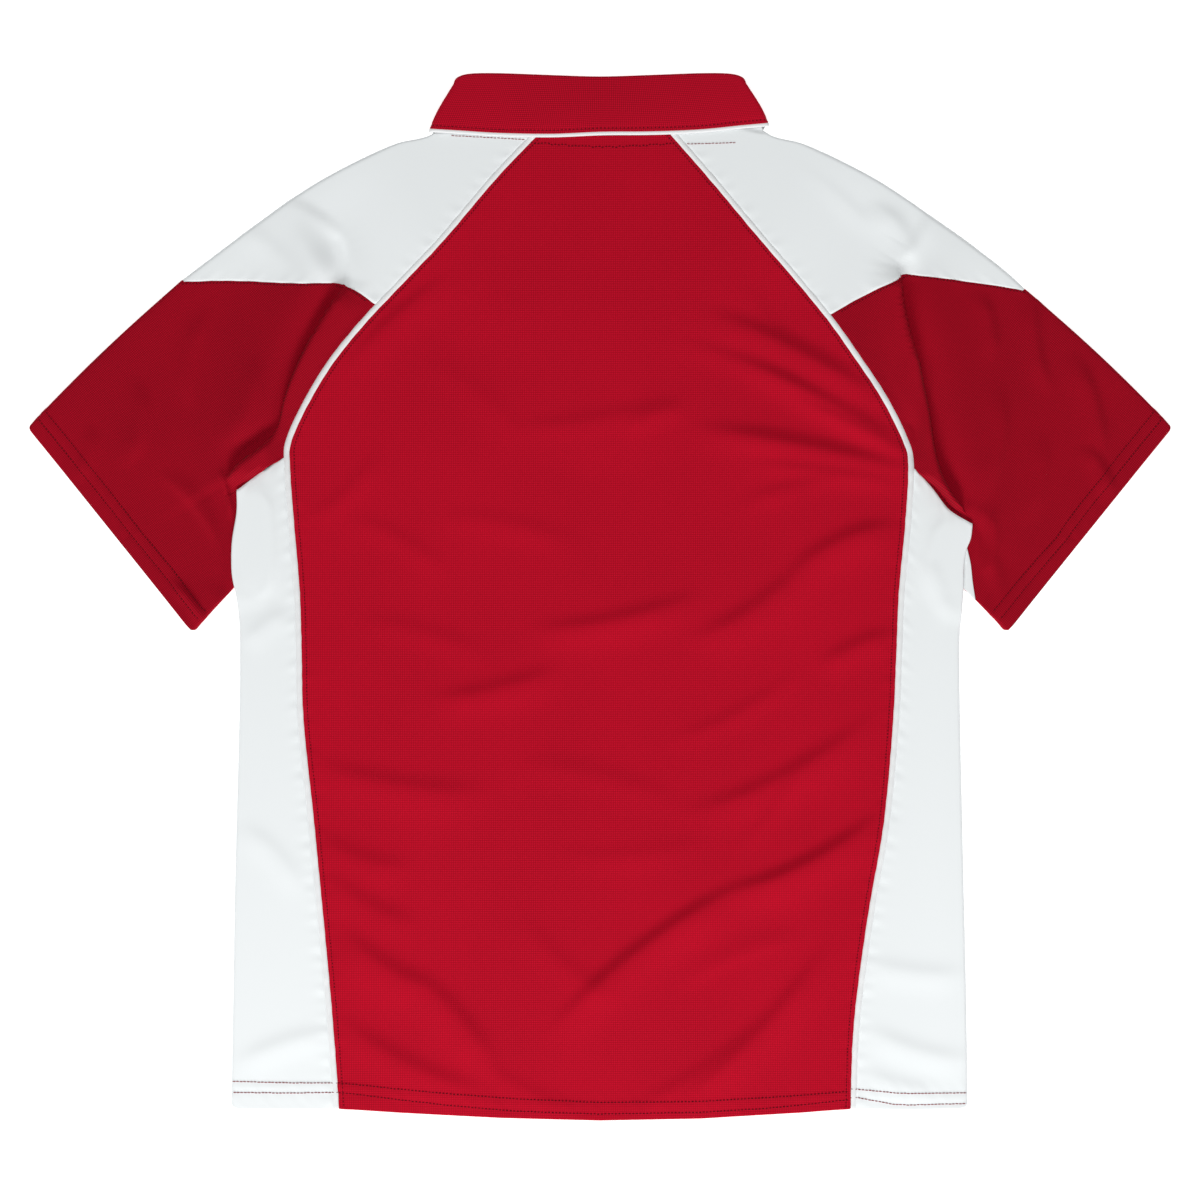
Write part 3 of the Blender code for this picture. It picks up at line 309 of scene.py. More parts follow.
def smooth_path(points: Array, steps: int = PATH_STEPS) -> Array:
    """Carry a Catmull-Rom curve through points: a cubic between each two of them.

    Args:
        points: Plan points, shape (n, 2).
        steps: Points of the curve for each span.
    Returns:
        The curve's points.
    """
    ends = np.vstack([2 * points[0] - points[1], points, 2 * points[-1] - points[-2]])
    a, b, c, d = ends[:-3, None], ends[1:-2, None], ends[2:-1, None], ends[3:, None]
    t = np.linspace(0.0, 1.0, steps, endpoint=False)[None, :, None]
    curve = 0.5 * (2 * b + (c - a) * t + (2 * a - 5 * b + 4 * c - d) * t ** 2
                   + (3 * b - a - 3 * c + d) * t ** 3)
    return np.vstack([curve.reshape(-1, points.shape[1]), points[-1]])


def plan(rows: dict[str, Array]) -> Array:
    """Return the plan points of a table."""
    return np.column_stack([rows["x"], rows["y"]])


def lengths_along(path: Array) -> Array:
    """Return the length of a path up to each of its points."""
    return np.append(0.0, np.cumsum(np.linalg.norm(np.diff(path, axis=0), axis=1)))


def at_length(path: Array, place: Array) -> Array:
    """Return the points at the given lengths along a path."""
    length = lengths_along(path)
    return np.column_stack([np.interp(place, length, column) for column in path.T])


def at_fraction(path: Array, fraction: Array) -> Array:
    """Return the points at the given fractions of a path's length."""
    return at_length(path, np.asarray(fraction) * lengths_along(path)[-1])


def at_height(path: Array, height: Array) -> Array:
    """Return the points at the given y of a path that runs down the shirt."""
    return np.column_stack([np.interp(height, path[::-1, 1], path[::-1, 0]), height])


def normals_of(path: Array, turn: float) -> Array:
    """Return unit normals of a plan path: right of its run if turn is 1, left if -1."""
    run = unit(np.gradient(path, axis=0))
    return turn * np.column_stack([run[:, 1], -run[:, 0]])


def nearest(path: Array, points: Array, reach: float) -> tuple[Array, Array, Array]:
    """Measure points against a path: each is set against every straight stretch of it.

    Args:
        path: Plan points of the path.
        points: Plan points, any shape that ends in 2.
        reach: Points further than this away from the path's box aren't measured.
    Returns:
        The distance, at most reach; 1 or -1 for the side; and the place from 0 to 1.
    """
    flat = points.reshape(-1, 2)
    distance = np.full(len(flat), float(reach))
    side = np.ones(len(flat))
    place = np.zeros(len(flat))
    start = path[:-1]
    step = np.diff(path, axis=0)
    inside = (flat > path.min(0) - reach) & (flat < path.max(0) + reach)
    close = np.flatnonzero(inside.all(axis=1))
    for part in np.array_split(close, len(close) // CHUNK + 1):
        offset = flat[part, None] - start
        share = np.clip((offset * step).sum(-1) / (step ** 2).sum(-1), 0.0, 1.0)
        gap = offset - share[..., None] * step
        square = (gap ** 2).sum(-1)
        row = np.arange(len(part))
        best = square.argmin(1)
        away = gap[row, best]
        distance[part] = np.minimum(np.sqrt(square[row, best]), reach)
        side[part] = np.sign(step[best, 0] * away[:, 1] - step[best, 1] * away[:, 0])
        place[part] = (best + share[row, best]) / len(step)
    shape = points.shape[:-1]
    return distance.reshape(shape), side.reshape(shape), place.reshape(shape)


def hem_y(x: Array) -> Array:
    """Return the hem's height in plan at x."""
    return np.interp(x, HEM["x"], HEM["y"])


def fine_ends(count: int, length: float, start: bool = True, end: bool = True) -> Array:
    """Space stations evenly from 0 to 1, with a few close ones at the ends.

    Args:
        count: Even stations between the close ones.
        length: The length that 1 stands for, in millimetres.
        start: Whether there are close stations at 0.
        end: Whether there are close stations at 1.
    Returns:
        The stations, from 0 to 1.
    """
    close = np.array(SEAM_STEPS) / length
    low = close[-1] if start else 0.0
    high = 1.0 - close[-1] if end else 1.0
    parts = [np.linspace(low, high, count)]
    if start:
        parts.insert(0, np.append(0.0, close[:-1]))
    if end:
        parts.append(np.append(1.0 - close[-2::-1], 1.0))
    return np.concatenate(parts)


class SideCut:
    """Seams and folded edges of one side of the shirt, in plan.

    Its turn is 1 on the left and -1 on the right: with it, normals of paths that run down the
    shirt point outwards.
    """

    def __init__(self, hand: Hand) -> None:
        """Read the side's tables.

        Args:
            hand: Which side it is.
        """
        self.hand = hand
        self.turn = 1.0 if hand is Hand.LEFT else -1.0
        self.seam_path = smooth_path(np.column_stack([BODY_SEAM[hand.value], BODY_SEAM["y"]]))
        self.seam_out = normals_of(self.seam_path, self.turn)
        self.shoulder_edge = smooth_path(plan(SHOULDER_EDGE[hand]))
        self.side_edge = smooth_path(plan(SIDE_EDGE[hand]))
        self.underarm = smooth_path(plan(UNDERARM[hand]))
        self.tuck = at_fraction(self.underarm, np.linspace(*TUCK_STRETCH, 8))
        self.crease = smooth_path(plan(CREASE[hand]))
        bead_places = np.arange(BEAD_STEP / 2, lengths_along(self.crease)[-1], BEAD_STEP)
        self.crease_beads = at_length(self.crease, bead_places)
        self.bead_out = normals_of(self.crease_beads, self.turn)
        share = bead_places / bead_places[-1]
        self.bead_weights = plateau(share, (0.0, 0.2), (0.92, 1.0))
        self.cuff = plan(CUFF[hand])
        upper = self.seam_path[:, 1] > ARMPIT_Y[hand] - 20.0
        self.raglan = self.seam_path[upper] + PIPING_WIDTH * self.seam_out[upper]
        self.top_seam = np.vstack([self.raglan[-1], plan(SIDE_TOP_SEAM[hand]),
                                   self.side_edge[0]])
        self.edges = (self.shoulder_edge, self.side_edge, self.underarm,
                      np.vstack([self.shoulder_edge[-1], self.cuff[0]]))

    def seam(self, heights: Array, gap: float = 0.0) -> Array:
        """Return points of the back seam, moved out by gap, at heights of the seam."""
        middle = at_height(self.seam_path, heights)
        out = np.column_stack([np.interp(heights, self.seam_path[::-1, 1], column[::-1])
                               for column in self.seam_out.T])
        points = middle + gap * out / np.linalg.norm(out, axis=1)[:, None]
        low = smooth_step(-heights, -HEM["y"].max() - HEM_BEND, -hem_y(middle[:, 0]))
        points[:, 1] += low * (hem_y(points[:, 0]) - hem_y(middle[:, 0]) - gap * out[:, 1])
        return points

    def beside_piping(self, heights: Array) -> Array:
        """Return the line where the panels meet the piping's outer side."""
        return self.seam(heights, PIPING_WIDTH + 2 * SEAM_GAP)

    def front_seam(self, heights: Array, gap: float = 0.0) -> Array:
        """Return the front seam: nearer the middle and lower towards the neck."""
        line = self.seam(heights, gap)
        near = 1.0 - smooth_step(-heights, -BODY_SEAM["y"][1], -FRONT_SEAM_END_Y)
        neck = at_height(self.seam_path, BODY_SEAM["y"][1:2])[0]
        shift = np.array([-self.turn * FRONT_NECK_SIDE[0], FRONT_NECK_SIDE[1]]) - neck
        return line + near[:, None] * shift

    def end_heights(self) -> tuple[float, float, float, float]:
        """Return the seam's heights at the neck, sleeve seam, armpit and hem."""
        low = hem_y(self.seam_path[-1, 0])
        return NECK_SEAM_Y, SLEEVE_SEAM_Y[self.hand], ARMPIT_Y[self.hand], float(low)


SIDES = {hand: SideCut(hand) for hand in Hand}


class Drape:
    """Heights of the shirt's layers over the floor, as functions of the plan."""

    @staticmethod
    def neck_place(points: Array) -> Array:
        """Return the distance from the neck's centre, 1 on the edge of the collar's front."""
        return np.hypot(points[..., 0] / NECK_HALF_WIDTH,
                        (points[..., 1] - NECK_CENTRE_Y) / NECK_HALF_DEPTH)

    @staticmethod
    def placket_place(points: Array) -> Array:
        """Return the distance outside the placket's outline in plan."""
        beside = np.maximum(np.abs(points[..., 0]) - PLACKET_WIDTH / 2, 0.0)
        below = np.maximum(PLACKET_END_Y - points[..., 1], 0.0)
        return np.hypot(beside, below)

    @staticmethod
    def tuck_part(points: Array, margin: float = 0.0) -> Array:
        """Return 1 over the tucked underarms and 0 well away from them."""
        far = TUCK_FAR + margin
        return union(*[1.0 - smooth_step(nearest(side.tuck, points, far)[0],
                                         TUCK_NEAR + margin, far)
                       for side in SIDES.values()])

    def front(self, points: Array, over_tuck: bool = False) -> Array:
        """Return the front layer: flat, lifted over the collar, the buttons and the tucks.

        Args:
            points: Plan points.
            over_tuck: Whether the layer also lies over the tucked sleeve.
        Returns:
            The height of its middle surface.
        """
        neck = 1.0 - smooth_step(self.neck_place(points), 1.0, NECK_FRONT_FADE)
        placket = 1.0 - smooth_step(self.placket_place(points), PLACKET_LIFT_MARGIN,
                                    PLACKET_LIFT_FADE)
        height = FLOOR_LAYER + NECK_FRONT_LIFT * union(neck, placket)
        if over_tuck:
            height = height + TUCK_LIFT * self.tuck_part(points, TUCK_MARGIN)
        return height

    @staticmethod
    def ridges(points: Array, folds: dict[str, Array]) -> Array:
        """Add up fold ridges: a bell curve across each, wider on one flank, faded at its ends.

        Args:
            points: Plan points.
            folds: A table of ridges.
        Returns:
            The summed height.
        """
        x, y = points[..., 0], points[..., 1]
        total = np.zeros(x.shape)
        for x0, y0, x1, y1, bend, width, height, skew in zip(*folds.values()):
            length = math.hypot(x1 - x0, y1 - y0)
            along = ((x - x0) * (x1 - x0) + (y - y0) * (y1 - y0)) / length ** 2
            across = ((y - y0) * (x1 - x0) - (x - x0) * (y1 - y0)) / length
            across = across - bend * 4.0 * along * (1.0 - along)
            flank = width * np.where(across < 0.0, 1.0 + skew, 1.0 - skew / 2)
            fade = plateau(along, FOLD_RISE, FOLD_END)
            total += FOLD_GAIN * height * fade * np.exp(-(across / flank) ** 2)
        return total

    @staticmethod
    def crease(points: Array, side: SideCut) -> Array:
        """Return the step beside the raglan seam: a steep lip on its body side, and outside
        it a low valley from which the sleeve swells.

        The lip is the product of two bell curves of the distance. The swell is a wide row
        of round bells along the valley less a narrow one, so that it is smooth everywhere.

        Args:
            points: Plan points.
            side: The side whose valley it is.
        Returns:
            The height to add.
        """
        distance, flank, place = nearest(side.crease, points, 3 * LIP_REACH)
        outer = flank * side.turn < 0.0
        fade = SHOULDER_LIP * smooth_step(place, 0.03, 0.2)
        fade += (1.0 - SHOULDER_LIP) * smooth_step(place, *LIP_START[side.hand])
        fade *= 1.0 - smooth_step(place, 0.95, 1.0)
        lip = (1.0 - np.exp(-(distance / LIP_FLANK) ** 2)) * np.exp(-(distance / LIP_REACH) ** 2)
        lip = np.where(outer, 0.0, LIP_HEIGHT * lip * fade)
        wide = np.zeros(distance.shape)
        narrow = np.zeros(distance.shape)
        beyond = np.zeros(distance.shape)
        total = np.full(distance.shape, 1e-9)
        for bead, out, weight in zip(side.crease_beads, side.bead_out, side.bead_weights):
            offset = points - bead
            square = (offset ** 2).sum(-1)
            near = np.exp(-square / SWELL_REACH ** 2)
            wide += weight * near / SWELL_REACH
            narrow += weight * np.exp(-square / VALLEY_WIDTH ** 2) / VALLEY_WIDTH
            beyond += near * (offset @ out)
            total += near
        scale = BEAD_STEP / math.sqrt(math.pi)
        swell = SWELL_HEIGHT * np.maximum(wide - narrow, 0.0) * scale
        swell *= smooth_step(beyond / total, *SWELL_START)
        swell -= VALLEY_DEPTH * narrow * scale
        from_body = nearest(side.raglan, points, LIP_SEAM_FADE)[0]
        from_side = nearest(side.top_seam, points, LIP_SIDE_FADE)[0]
        return (lip + swell) * smooth_step(from_body, 0.0, LIP_SEAM_FADE) * smooth_step(
            from_side, 0.0, LIP_SIDE_FADE)

    @staticmethod
    def lean(points: Array, side: SideCut) -> Array:
        """Lean the lip over its valley: move points of its flank out, in plan.

        Args:
            points: Plan points, shape (rows, columns, 2).
            side: The side whose valley it is.
        Returns:
            The moved points.
        """
        distance, flank, place = nearest(side.crease, points, 3 * LIP_REACH)
        number = np.arange(len(side.crease))
        foot = np.stack([np.interp(place * number[-1], number, column)
                         for column in side.crease.T], -1)
        toward = (foot - points) / np.maximum(distance, 1e-6)[..., None]
        inner = flank * side.turn > 0.0
        fade = plateau(place, LIP_START[side.hand], (0.9, 1.0))
        part = plateau(distance, (0.0, 2.5), (4.0, LEAN_REACH))
        from_body = nearest(side.raglan, points, LIP_SEAM_FADE)[0]
        sewn = smooth_step(from_body, 0.0, LIP_SEAM_FADE)
        shift = np.where(inner & (distance < LEAN_REACH), LIP_OVERHANG * part * fade * sewn, 0.0)
        return points + toward * shift[..., None]

    def back(self, points: Array, creased: SideCut | None = None) -> Array:
        """Return the back layer: a loft beside folded edges, folds, and the sleeve's valley.

        Args:
            points: Plan points.
            creased: The side whose valley lies in this piece, if one does.
        Returns:
            The height of its middle surface, always clear of the layer below.
        """
        reach = 3 * EDGE_REACH
        edge = np.min([nearest(line, points, reach)[0]
                       for side in SIDES.values() for line in side.edges], axis=0)
        neck = 1.0 - smooth_step(self.neck_place(points), 1.0, NECK_BACK_FADE)
        placket = 1.0 - smooth_step(self.placket_place(points), PLACKET_LIFT_MARGIN,
                                    2 * PLACKET_LIFT_FADE)
        loft = np.exp(-(edge / EDGE_REACH) ** 2)
        lift = union(neck, loft * EDGE_LOFT / NECK_BACK_LIFT,
                     placket * PLACKET_BACK_LIFT / NECK_BACK_LIFT)
        height = BACK_LAYER + NECK_BACK_LIFT * lift + TUCK_BACK_LIFT * self.tuck_part(points)
        ridges = self.ridges(points, FOLDS) + self.ridges(points, CREASES)
        height = height + ridges * (1.0 - neck)
        if creased:
            height = height + self.crease(points, creased) * (1.0 - neck)
        return np.maximum(height, self.front(points, over_tuck=True) + LEAST_RISE)

    def sleeve(self, points: Array, side: SideCut) -> Array:
        """Return a sleeve's back layer, which sinks below the side panel at the underarm."""
        tucked = self.tuck_part(points)
        height = self.back(points, side) * (1.0 - tucked) + TUCKED_LAYER * tucked
        return height + self.ridges(points, BEAK)


DRAPE = Drape()


def surface(points: Array, heights: Array) -> Array:
    """Join plan points and heights into points of a surface."""
    return np.concatenate([points, np.broadcast_to(heights, points.shape[:-1])[..., None]], -1)


def turn_round(upper: Array, lower: Array, outward: Array, spans: int) -> Array:
    """Bend cloth round a folded edge: half circles from upper to lower, one for each row.

    Args:
        upper: Where the half circles start, shape (rows, 3).
        lower: Where they end.
        outward: The edge's outward normals in plan, shape (rows, 2).
        spans: How many spans a half circle has.
    Returns:
        The inner points, shape (rows, spans - 1, 3).
    """
    centre = (upper + lower)[:, None] / 2
    half = (upper - lower)[:, None] / 2
    angle = (np.arange(1, spans) * math.pi / spans)[None, :, None]
    out = np.column_stack([outward, np.zeros(len(outward))])[:, None]
    return centre + np.cos(angle) * half + np.sin(angle) * half[..., 2:] * out


def inset_of(edge: Array, outward: Array, upper: Array, lower: Array) -> Array:
    """Move a folded edge's outline in to where its half circle starts."""
    radius = (upper - lower) / 2
    return edge - outward * (radius + CLOTH / 2)[:, None]


def unroll(grid: Array, turns: list[tuple[int, int, Array]], grain: float) -> Array:
    """Lay a folded grid out flat: past each folded edge the plan is mirrored outwards.

    Args:
        grid: Points of the surface, shape (rows, columns, 3).
        turns: First and last column of each half circle, and the edge's outward normals.
        grain: The turn of the cloth's grain, in radians.
    Returns:
        The flat places in millimetres, shape (rows, columns, 2).
    """
    steps = np.diff(grid, axis=1)
    lengths = np.linalg.norm(steps, axis=-1)
    mirror = np.broadcast_to(np.eye(2), (len(grid), 2, 2))
    moves = np.zeros((*lengths.shape, 2))
    done = 0
    for first, last, outward in turns + [(lengths.shape[1], lengths.shape[1], None)]:
        moves[:, done:first] = np.einsum("rij,rcj->rci", mirror, steps[:, done:first, :2])
        if outward is not None:
            way = np.einsum("rij,rj->ri", mirror, outward)
            moves[:, first:last] = way[:, None] * lengths[:, first:last, None]
            flip = np.eye(2) - 2 * outward[:, :, None] * outward[:, None, :]
            mirror = mirror @ flip
        done = last
    start = grid[:, :1, :2]
    places = np.concatenate([start, start + np.cumsum(moves, axis=1)], axis=1)
    turned = np.array([[math.cos(grain), -math.sin(grain)], [math.sin(grain), math.cos(grain)]])
    return places @ turned


@dataclass
class Patch:
    """A piece of cloth as a grid of points in its middle surface, outside up.

    Attributes:
        name: The piece's name.
        grid: Points, shape (rows, columns, 3), turned so that the outside is on its left
            when the columns run away from the rows.
        flat: Places on the flat cut, one column more where the grid is a ring.
        wall: The cloth's thickness.
        puff: What the outside stands proud of the wall, for each point.
        ring: Whether the last column joins the first.
        keep: Which quads there are, if not all.
    """

    name: str
    grid: Array
    flat: Array
    wall: float = CLOTH
    puff: Array | float = 0.0
    ring: bool = False
    keep: Array | None = None

    def quads(self) -> tuple[Array, Array]:
        """Return the corner numbers of each quad and the flat places of its corners."""
        number = numbers(*self.grid.shape[:2])
        if self.ring:
            number = np.concatenate([number, number[:, :1]], axis=1)
        corners, places = quads_of(number), quads_of(numbers(*number.shape))
        if self.keep is not None:
            corners, places = corners[self.keep], places[self.keep]
        return corners.reshape(-1, 4), self.flat.reshape(-1, 2)[places.reshape(-1, 4)]

    def normals(self) -> Array:
        """Average the unit normals of the quads round each point.

        Returns:
            Unit normals, shape (rows * columns, 3).
        """
        corners, _ = self.quads()
        points = self.grid.reshape(-1, 3)[corners]
        facing = unit(np.cross(points[:, 2] - points[:, 0], points[:, 3] - points[:, 1]))
        count = math.prod(self.grid.shape[:2])
        return unit(sum(add_up(corner, facing, count) for corner in corners.T))

    def skin(self) -> Array:
        """Return the outer surface: points and normals, shape (rows, columns, 6)."""
        normal = self.normals().reshape(self.grid.shape)
        rise = self.wall / 2 + np.broadcast_to(self.puff, self.grid.shape[:2])
        return np.concatenate([self.grid + normal * rise[..., None], normal], axis=-1)

    def build(self) -> bpy.types.Object:
        """Give the middle surface its wall: two skins, joined round the border by a bead.

        Returns:
            The closed mesh object.
        """
        corners, places = self.quads()
        middle = self.grid.reshape(-1, 3)
        normal = self.normals()
        rise = self.wall / 2 + np.broadcast_to(self.puff, self.grid.shape[:2]).reshape(-1, 1)
        count = len(middle)
        starts = corners.reshape(-1)
        ends = np.roll(corners, -1, axis=1).reshape(-1)
        border = ~np.isin(starts * count + ends, ends * count + starts)
        start, end = starts[border], ends[border]
        start_place = places.reshape(-1, 2)[border]
        end_place = np.roll(places, -1, axis=1).reshape(-1, 2)[border]
        side = unit(np.cross(middle[end] - middle[start], normal[start] + normal[end]))
        out = unit(add_up(start, side, count) + add_up(end, side, count))
        edge = np.unique(start)
        slot = np.zeros(count, int)
        slot[edge] = np.arange(len(edge))
        half = (rise + self.wall / 2) / 2
        centre = middle + normal * (rise - self.wall / 2) / 2
        beads = [centre[edge] + half[edge] * (math.cos(angle) * normal[edge]
                                              + math.sin(angle) * EDGE_ROUND * out[edge])
                 for angle in np.linspace(0.0, math.pi, EDGE_SPANS + 1)[1:-1]]
        points = np.vstack([middle + normal * rise, middle - normal * self.wall / 2, *beads])
        number = numbers(count)
        rings = [2 * count + len(edge) * ring + slot for ring in range(len(beads))]
        levels = [number, *rings, number + count]
        bands = [np.column_stack([upper[end], upper[start], lower[start], lower[end]])
                 for upper, lower in zip(levels, levels[1:])]
        band_place = np.stack([end_place, start_place, start_place, end_place], axis=1)
        faces = np.vstack([corners, corners[:, ::-1] + count, *bands])
        flats = np.concatenate([places, places[:, ::-1], *[band_place] * len(bands)])
        return mesh_object(self.name, points, faces, flats)


def mesh_object(name: str, points: Array, faces: Array, flats: Array) -> bpy.types.Object:
    """Make a mesh object of quads, in metres, with its flat places as the map "cut".

    Args:
        name: The object's name.
        points: Points in millimetres.
        faces: Corner numbers, shape (n, 4).
        flats: The corners' flat places in millimetres, shape (n, 4, 2).
    Returns:
        The object, smooth shaded.
    """
    used, faces = np.unique(faces, return_inverse=True)
    faces = faces.reshape(-1, 4)
    mesh = bpy.data.meshes.new(name)
    mesh.from_pydata((points[used] * MM).tolist(), [], faces.tolist())
    layer = mesh.uv_layers.new(name="cut")
    layer.data.foreach_set("uv", (flats * MM).astype(np.float32).ravel())
    mesh.shade_smooth()
    mesh.validate()
    piece = bpy.data.objects.new(name, mesh)
    bpy.context.collection.objects.link(piece)
    return piece


def add_node(tree: bpy.types.NodeTree, kind: str, settings: dict | None = None,
             inputs: dict | None = None) -> bpy.types.Node:
    """Add a node with its settings and links.

    Args:
        tree: The tree that it goes into.
        kind: The node's type name.
        settings: Its properties by name.
        inputs: A value, or another node's output, for each input's name or number.
    Returns:
        The node.
    """
    node = tree.nodes.new(kind)
    for name, value in (settings or {}).items():
        setattr(node, name, value)
    for key, value in (inputs or {}).items():
        if isinstance(value, bpy.types.NodeSocket):
            tree.links.new(value, node.inputs[key])
        else:
            node.inputs[key].default_value = value
    return node


def linear(code: str) -> tuple[float, float, float, float]:
    """Turn an sRGB hex colour into linear light, with full opacity."""
    parts = [int(code[place:place + 2], 16) / 255 for place in (1, 3, 5)]
    values = [part / 12.92 if part <= 0.04045 else ((part + 0.055) / 1.055) ** 2.4
              for part in parts]
    return (*values, 1.0)


@dataclass(frozen=True)
class Finish:
    """A finish: its material's name, and its colours where its pattern is low and high. On the
    knits, the tape and the threads the low colour is painted shade in pits and grooves.
    """

    name: str
    low: str
    high: str

    def paint(self, tree: bpy.types.NodeTree) -> bpy.types.Node:
        """Add the finish's own nodes and return its shader."""
        raise NotImplementedError

    def material(self) -> bpy.types.Material:
        """Make the material the first time that it is asked for.

        Returns:
            The material, its shader joined to an output.
        """
        found = bpy.data.materials.get(self.name)
        if found:
            return found
        material = bpy.data.materials.new(self.name)
        material.use_nodes = True
        tree = material.node_tree
        tree.nodes.clear()
        skin = self.paint(tree)
        add_node(tree, "ShaderNodeOutputMaterial", None, {0: skin.outputs[0]})
        return material

    def tone(self, tree: bpy.types.NodeTree, share: bpy.types.NodeSocket) -> bpy.types.NodeSocket:
        """Blend the two colours by the pattern's height and return the colour's socket; in a
        knit's pits and a weave's grooves the low colour is painted shade.
        """
        mix = add_node(tree, "ShaderNodeMix", {"data_type": "RGBA"},
                       {0: share, 6: linear(self.low), 7: linear(self.high)})
        return mix.outputs[2]


@dataclass(frozen=True)
class KnitFinish(Finish):
    """Polyester micro-mesh knit, dyed: matt, with a fine square grid of pits.

    The yarn's filaments scatter light softly, with a faint bloom at grazing angles. The pits
    between the loops take the darker first colour, which is painted shade.
    """

    cloud: str              # colour of the slow clouds in the dye
    pitch: float = 1.4      # between two rows of pits, in millimetres
    relief: float = 0.16    # depth of the pits

    def paint(self, tree: bpy.types.NodeTree) -> bpy.types.Node:
        """Make the knit: cosine waves along both directions of the cut, multiplied.

        Args:
            tree: The material's tree.
        Returns:
            The shader.
        """
        turn = 2 * math.pi / (self.pitch * MM)
        cut = add_node(tree, "ShaderNodeUVMap", {"uv_map": "cut"})
        phase = add_node(tree, "ShaderNodeVectorMath", {"operation": "MULTIPLY"},
                         {0: cut.outputs["UV"], 1: (turn, turn, 0.0)})
        wave = add_node(tree, "ShaderNodeVectorMath", {"operation": "COSINE"},
                        {0: phase.outputs[0]})
        parts = add_node(tree, "ShaderNodeSeparateXYZ", None, {0: wave.outputs[0]})
        wales, courses = (add_node(tree, "ShaderNodeMath", {"operation": "MULTIPLY_ADD"},
                                   {0: parts.outputs[axis], 1: 0.5, 2: 0.5}) for axis in "XY")
        loops = add_node(tree, "ShaderNodeMath", {"operation": "MULTIPLY"},
                         {0: wales.outputs[0], 1: courses.outputs[0]})
        soft = add_node(tree, "ShaderNodeMath", {"operation": "POWER"},
                        {0: loops.outputs[0], 1: 0.5})
        yarn = add_node(tree, "ShaderNodeTexNoise", None,
                        {"Vector": cut.outputs["UV"], "Scale": 2200.0, "Detail": 2.0})
        dye = add_node(tree, "ShaderNodeTexNoise", None,
                       {"Vector": cut.outputs["UV"], "Scale": 9.0, "Detail": 3.0})
        clouds = add_node(tree, "ShaderNodeMapRange", None,
                          {0: dye.outputs["Fac"], 1: 0.35, 2: 0.75, 3: 0.0, 4: 0.35})
        # The colour darkens towards the pits: painted shade between the loops
        tone = add_node(tree, "ShaderNodeMix", {"data_type": "RGBA"},
                        {0: clouds.outputs[0], 6: self.tone(tree, soft.outputs[0]),
                         7: linear(self.cloud)})
        relief = add_node(tree, "ShaderNodeMath", {"operation": "MULTIPLY_ADD"},
                          {0: yarn.outputs["Fac"], 1: 0.35, 2: loops.outputs[0]})
        bump = add_node(tree, "ShaderNodeBump", None,
                        {"Strength": 0.7, "Distance": self.relief * MM,
                         "Height": relief.outputs[0]})
        return add_node(tree, "ShaderNodeBsdfPrincipled", None,
                        {"Base Color": tone.outputs[2], "Roughness": 0.9,
                         "Specular IOR Level": 0.08, "Sheen Weight": 0.02,
                         "Sheen Roughness": 0.5, "Normal": bump.outputs["Normal"]})


@dataclass(frozen=True)
class RidgedFinish(Finish):
    """A finish with fine ridges, which a wave from -1 to 1 lifts and colours: the low colour in
    the grooves is painted shade.
    """

    strength: float = 0.4
    relief: float = 0.05    # height of the ridges, in millimetres

    def ridges(self, tree: bpy.types.NodeTree, wave: bpy.types.NodeSocket) -> dict:
        """Turn a wave into the shader's colour, with painted shade where it is low, and bump.

        Args:
            tree: The material's tree.
            wave: The wave's socket.
        Returns:
            The shader's inputs.
        """
        level = add_node(tree, "ShaderNodeMapRange", None, {0: wave, 1: -1.0})
        bump = add_node(tree, "ShaderNodeBump", None,
                        {"Strength": self.strength, "Distance": self.relief * MM,
                         "Height": level.outputs[0]})
        return {"Base Color": self.tone(tree, level.outputs[0]),
                "Normal": bump.outputs["Normal"]}


@dataclass(frozen=True)
class TapeFinish(RidgedFinish):
    """Bias-cut satin tape round a cord: smooth, close plain weave with a slight lustre."""

    pitch: float = 0.55     # between two threads, in millimetres

    def paint(self, tree: bpy.types.NodeTree) -> bpy.types.Node:
        """Make the weave: two crossed sine waves, at 45 degrees to the tape.

        Args:
            tree: The material's tree.
        Returns:
            The shader.
        """
        cut = add_node(tree, "ShaderNodeUVMap", {"uv_map": "cut"})
        bias = add_node(tree, "ShaderNodeMapping", None,
                        {0: cut.outputs["UV"], "Rotation": (0.0, 0.0, math.radians(45)),
                         "Scale": (2 * math.pi / (self.pitch * MM),) * 3})
        wave = add_node(tree, "ShaderNodeVectorMath", {"operation": "SINE"},
                        {0: bias.outputs[0]})
        parts = add_node(tree, "ShaderNodeSeparateXYZ", None, {0: wave.outputs[0]})
        weave = add_node(tree, "ShaderNodeMath", {"operation": "MULTIPLY"},
                         {0: parts.outputs["X"], 1: parts.outputs["Y"]})
        # The weave's low places take the darker colour: painted shade between the threads
        return add_node(tree, "ShaderNodeBsdfPrincipled", None,
                        {"Roughness": 0.6, "Specular IOR Level": 0.35, "Sheen Weight": 0.1,
                         **self.ridges(tree, weave.outputs[0])})


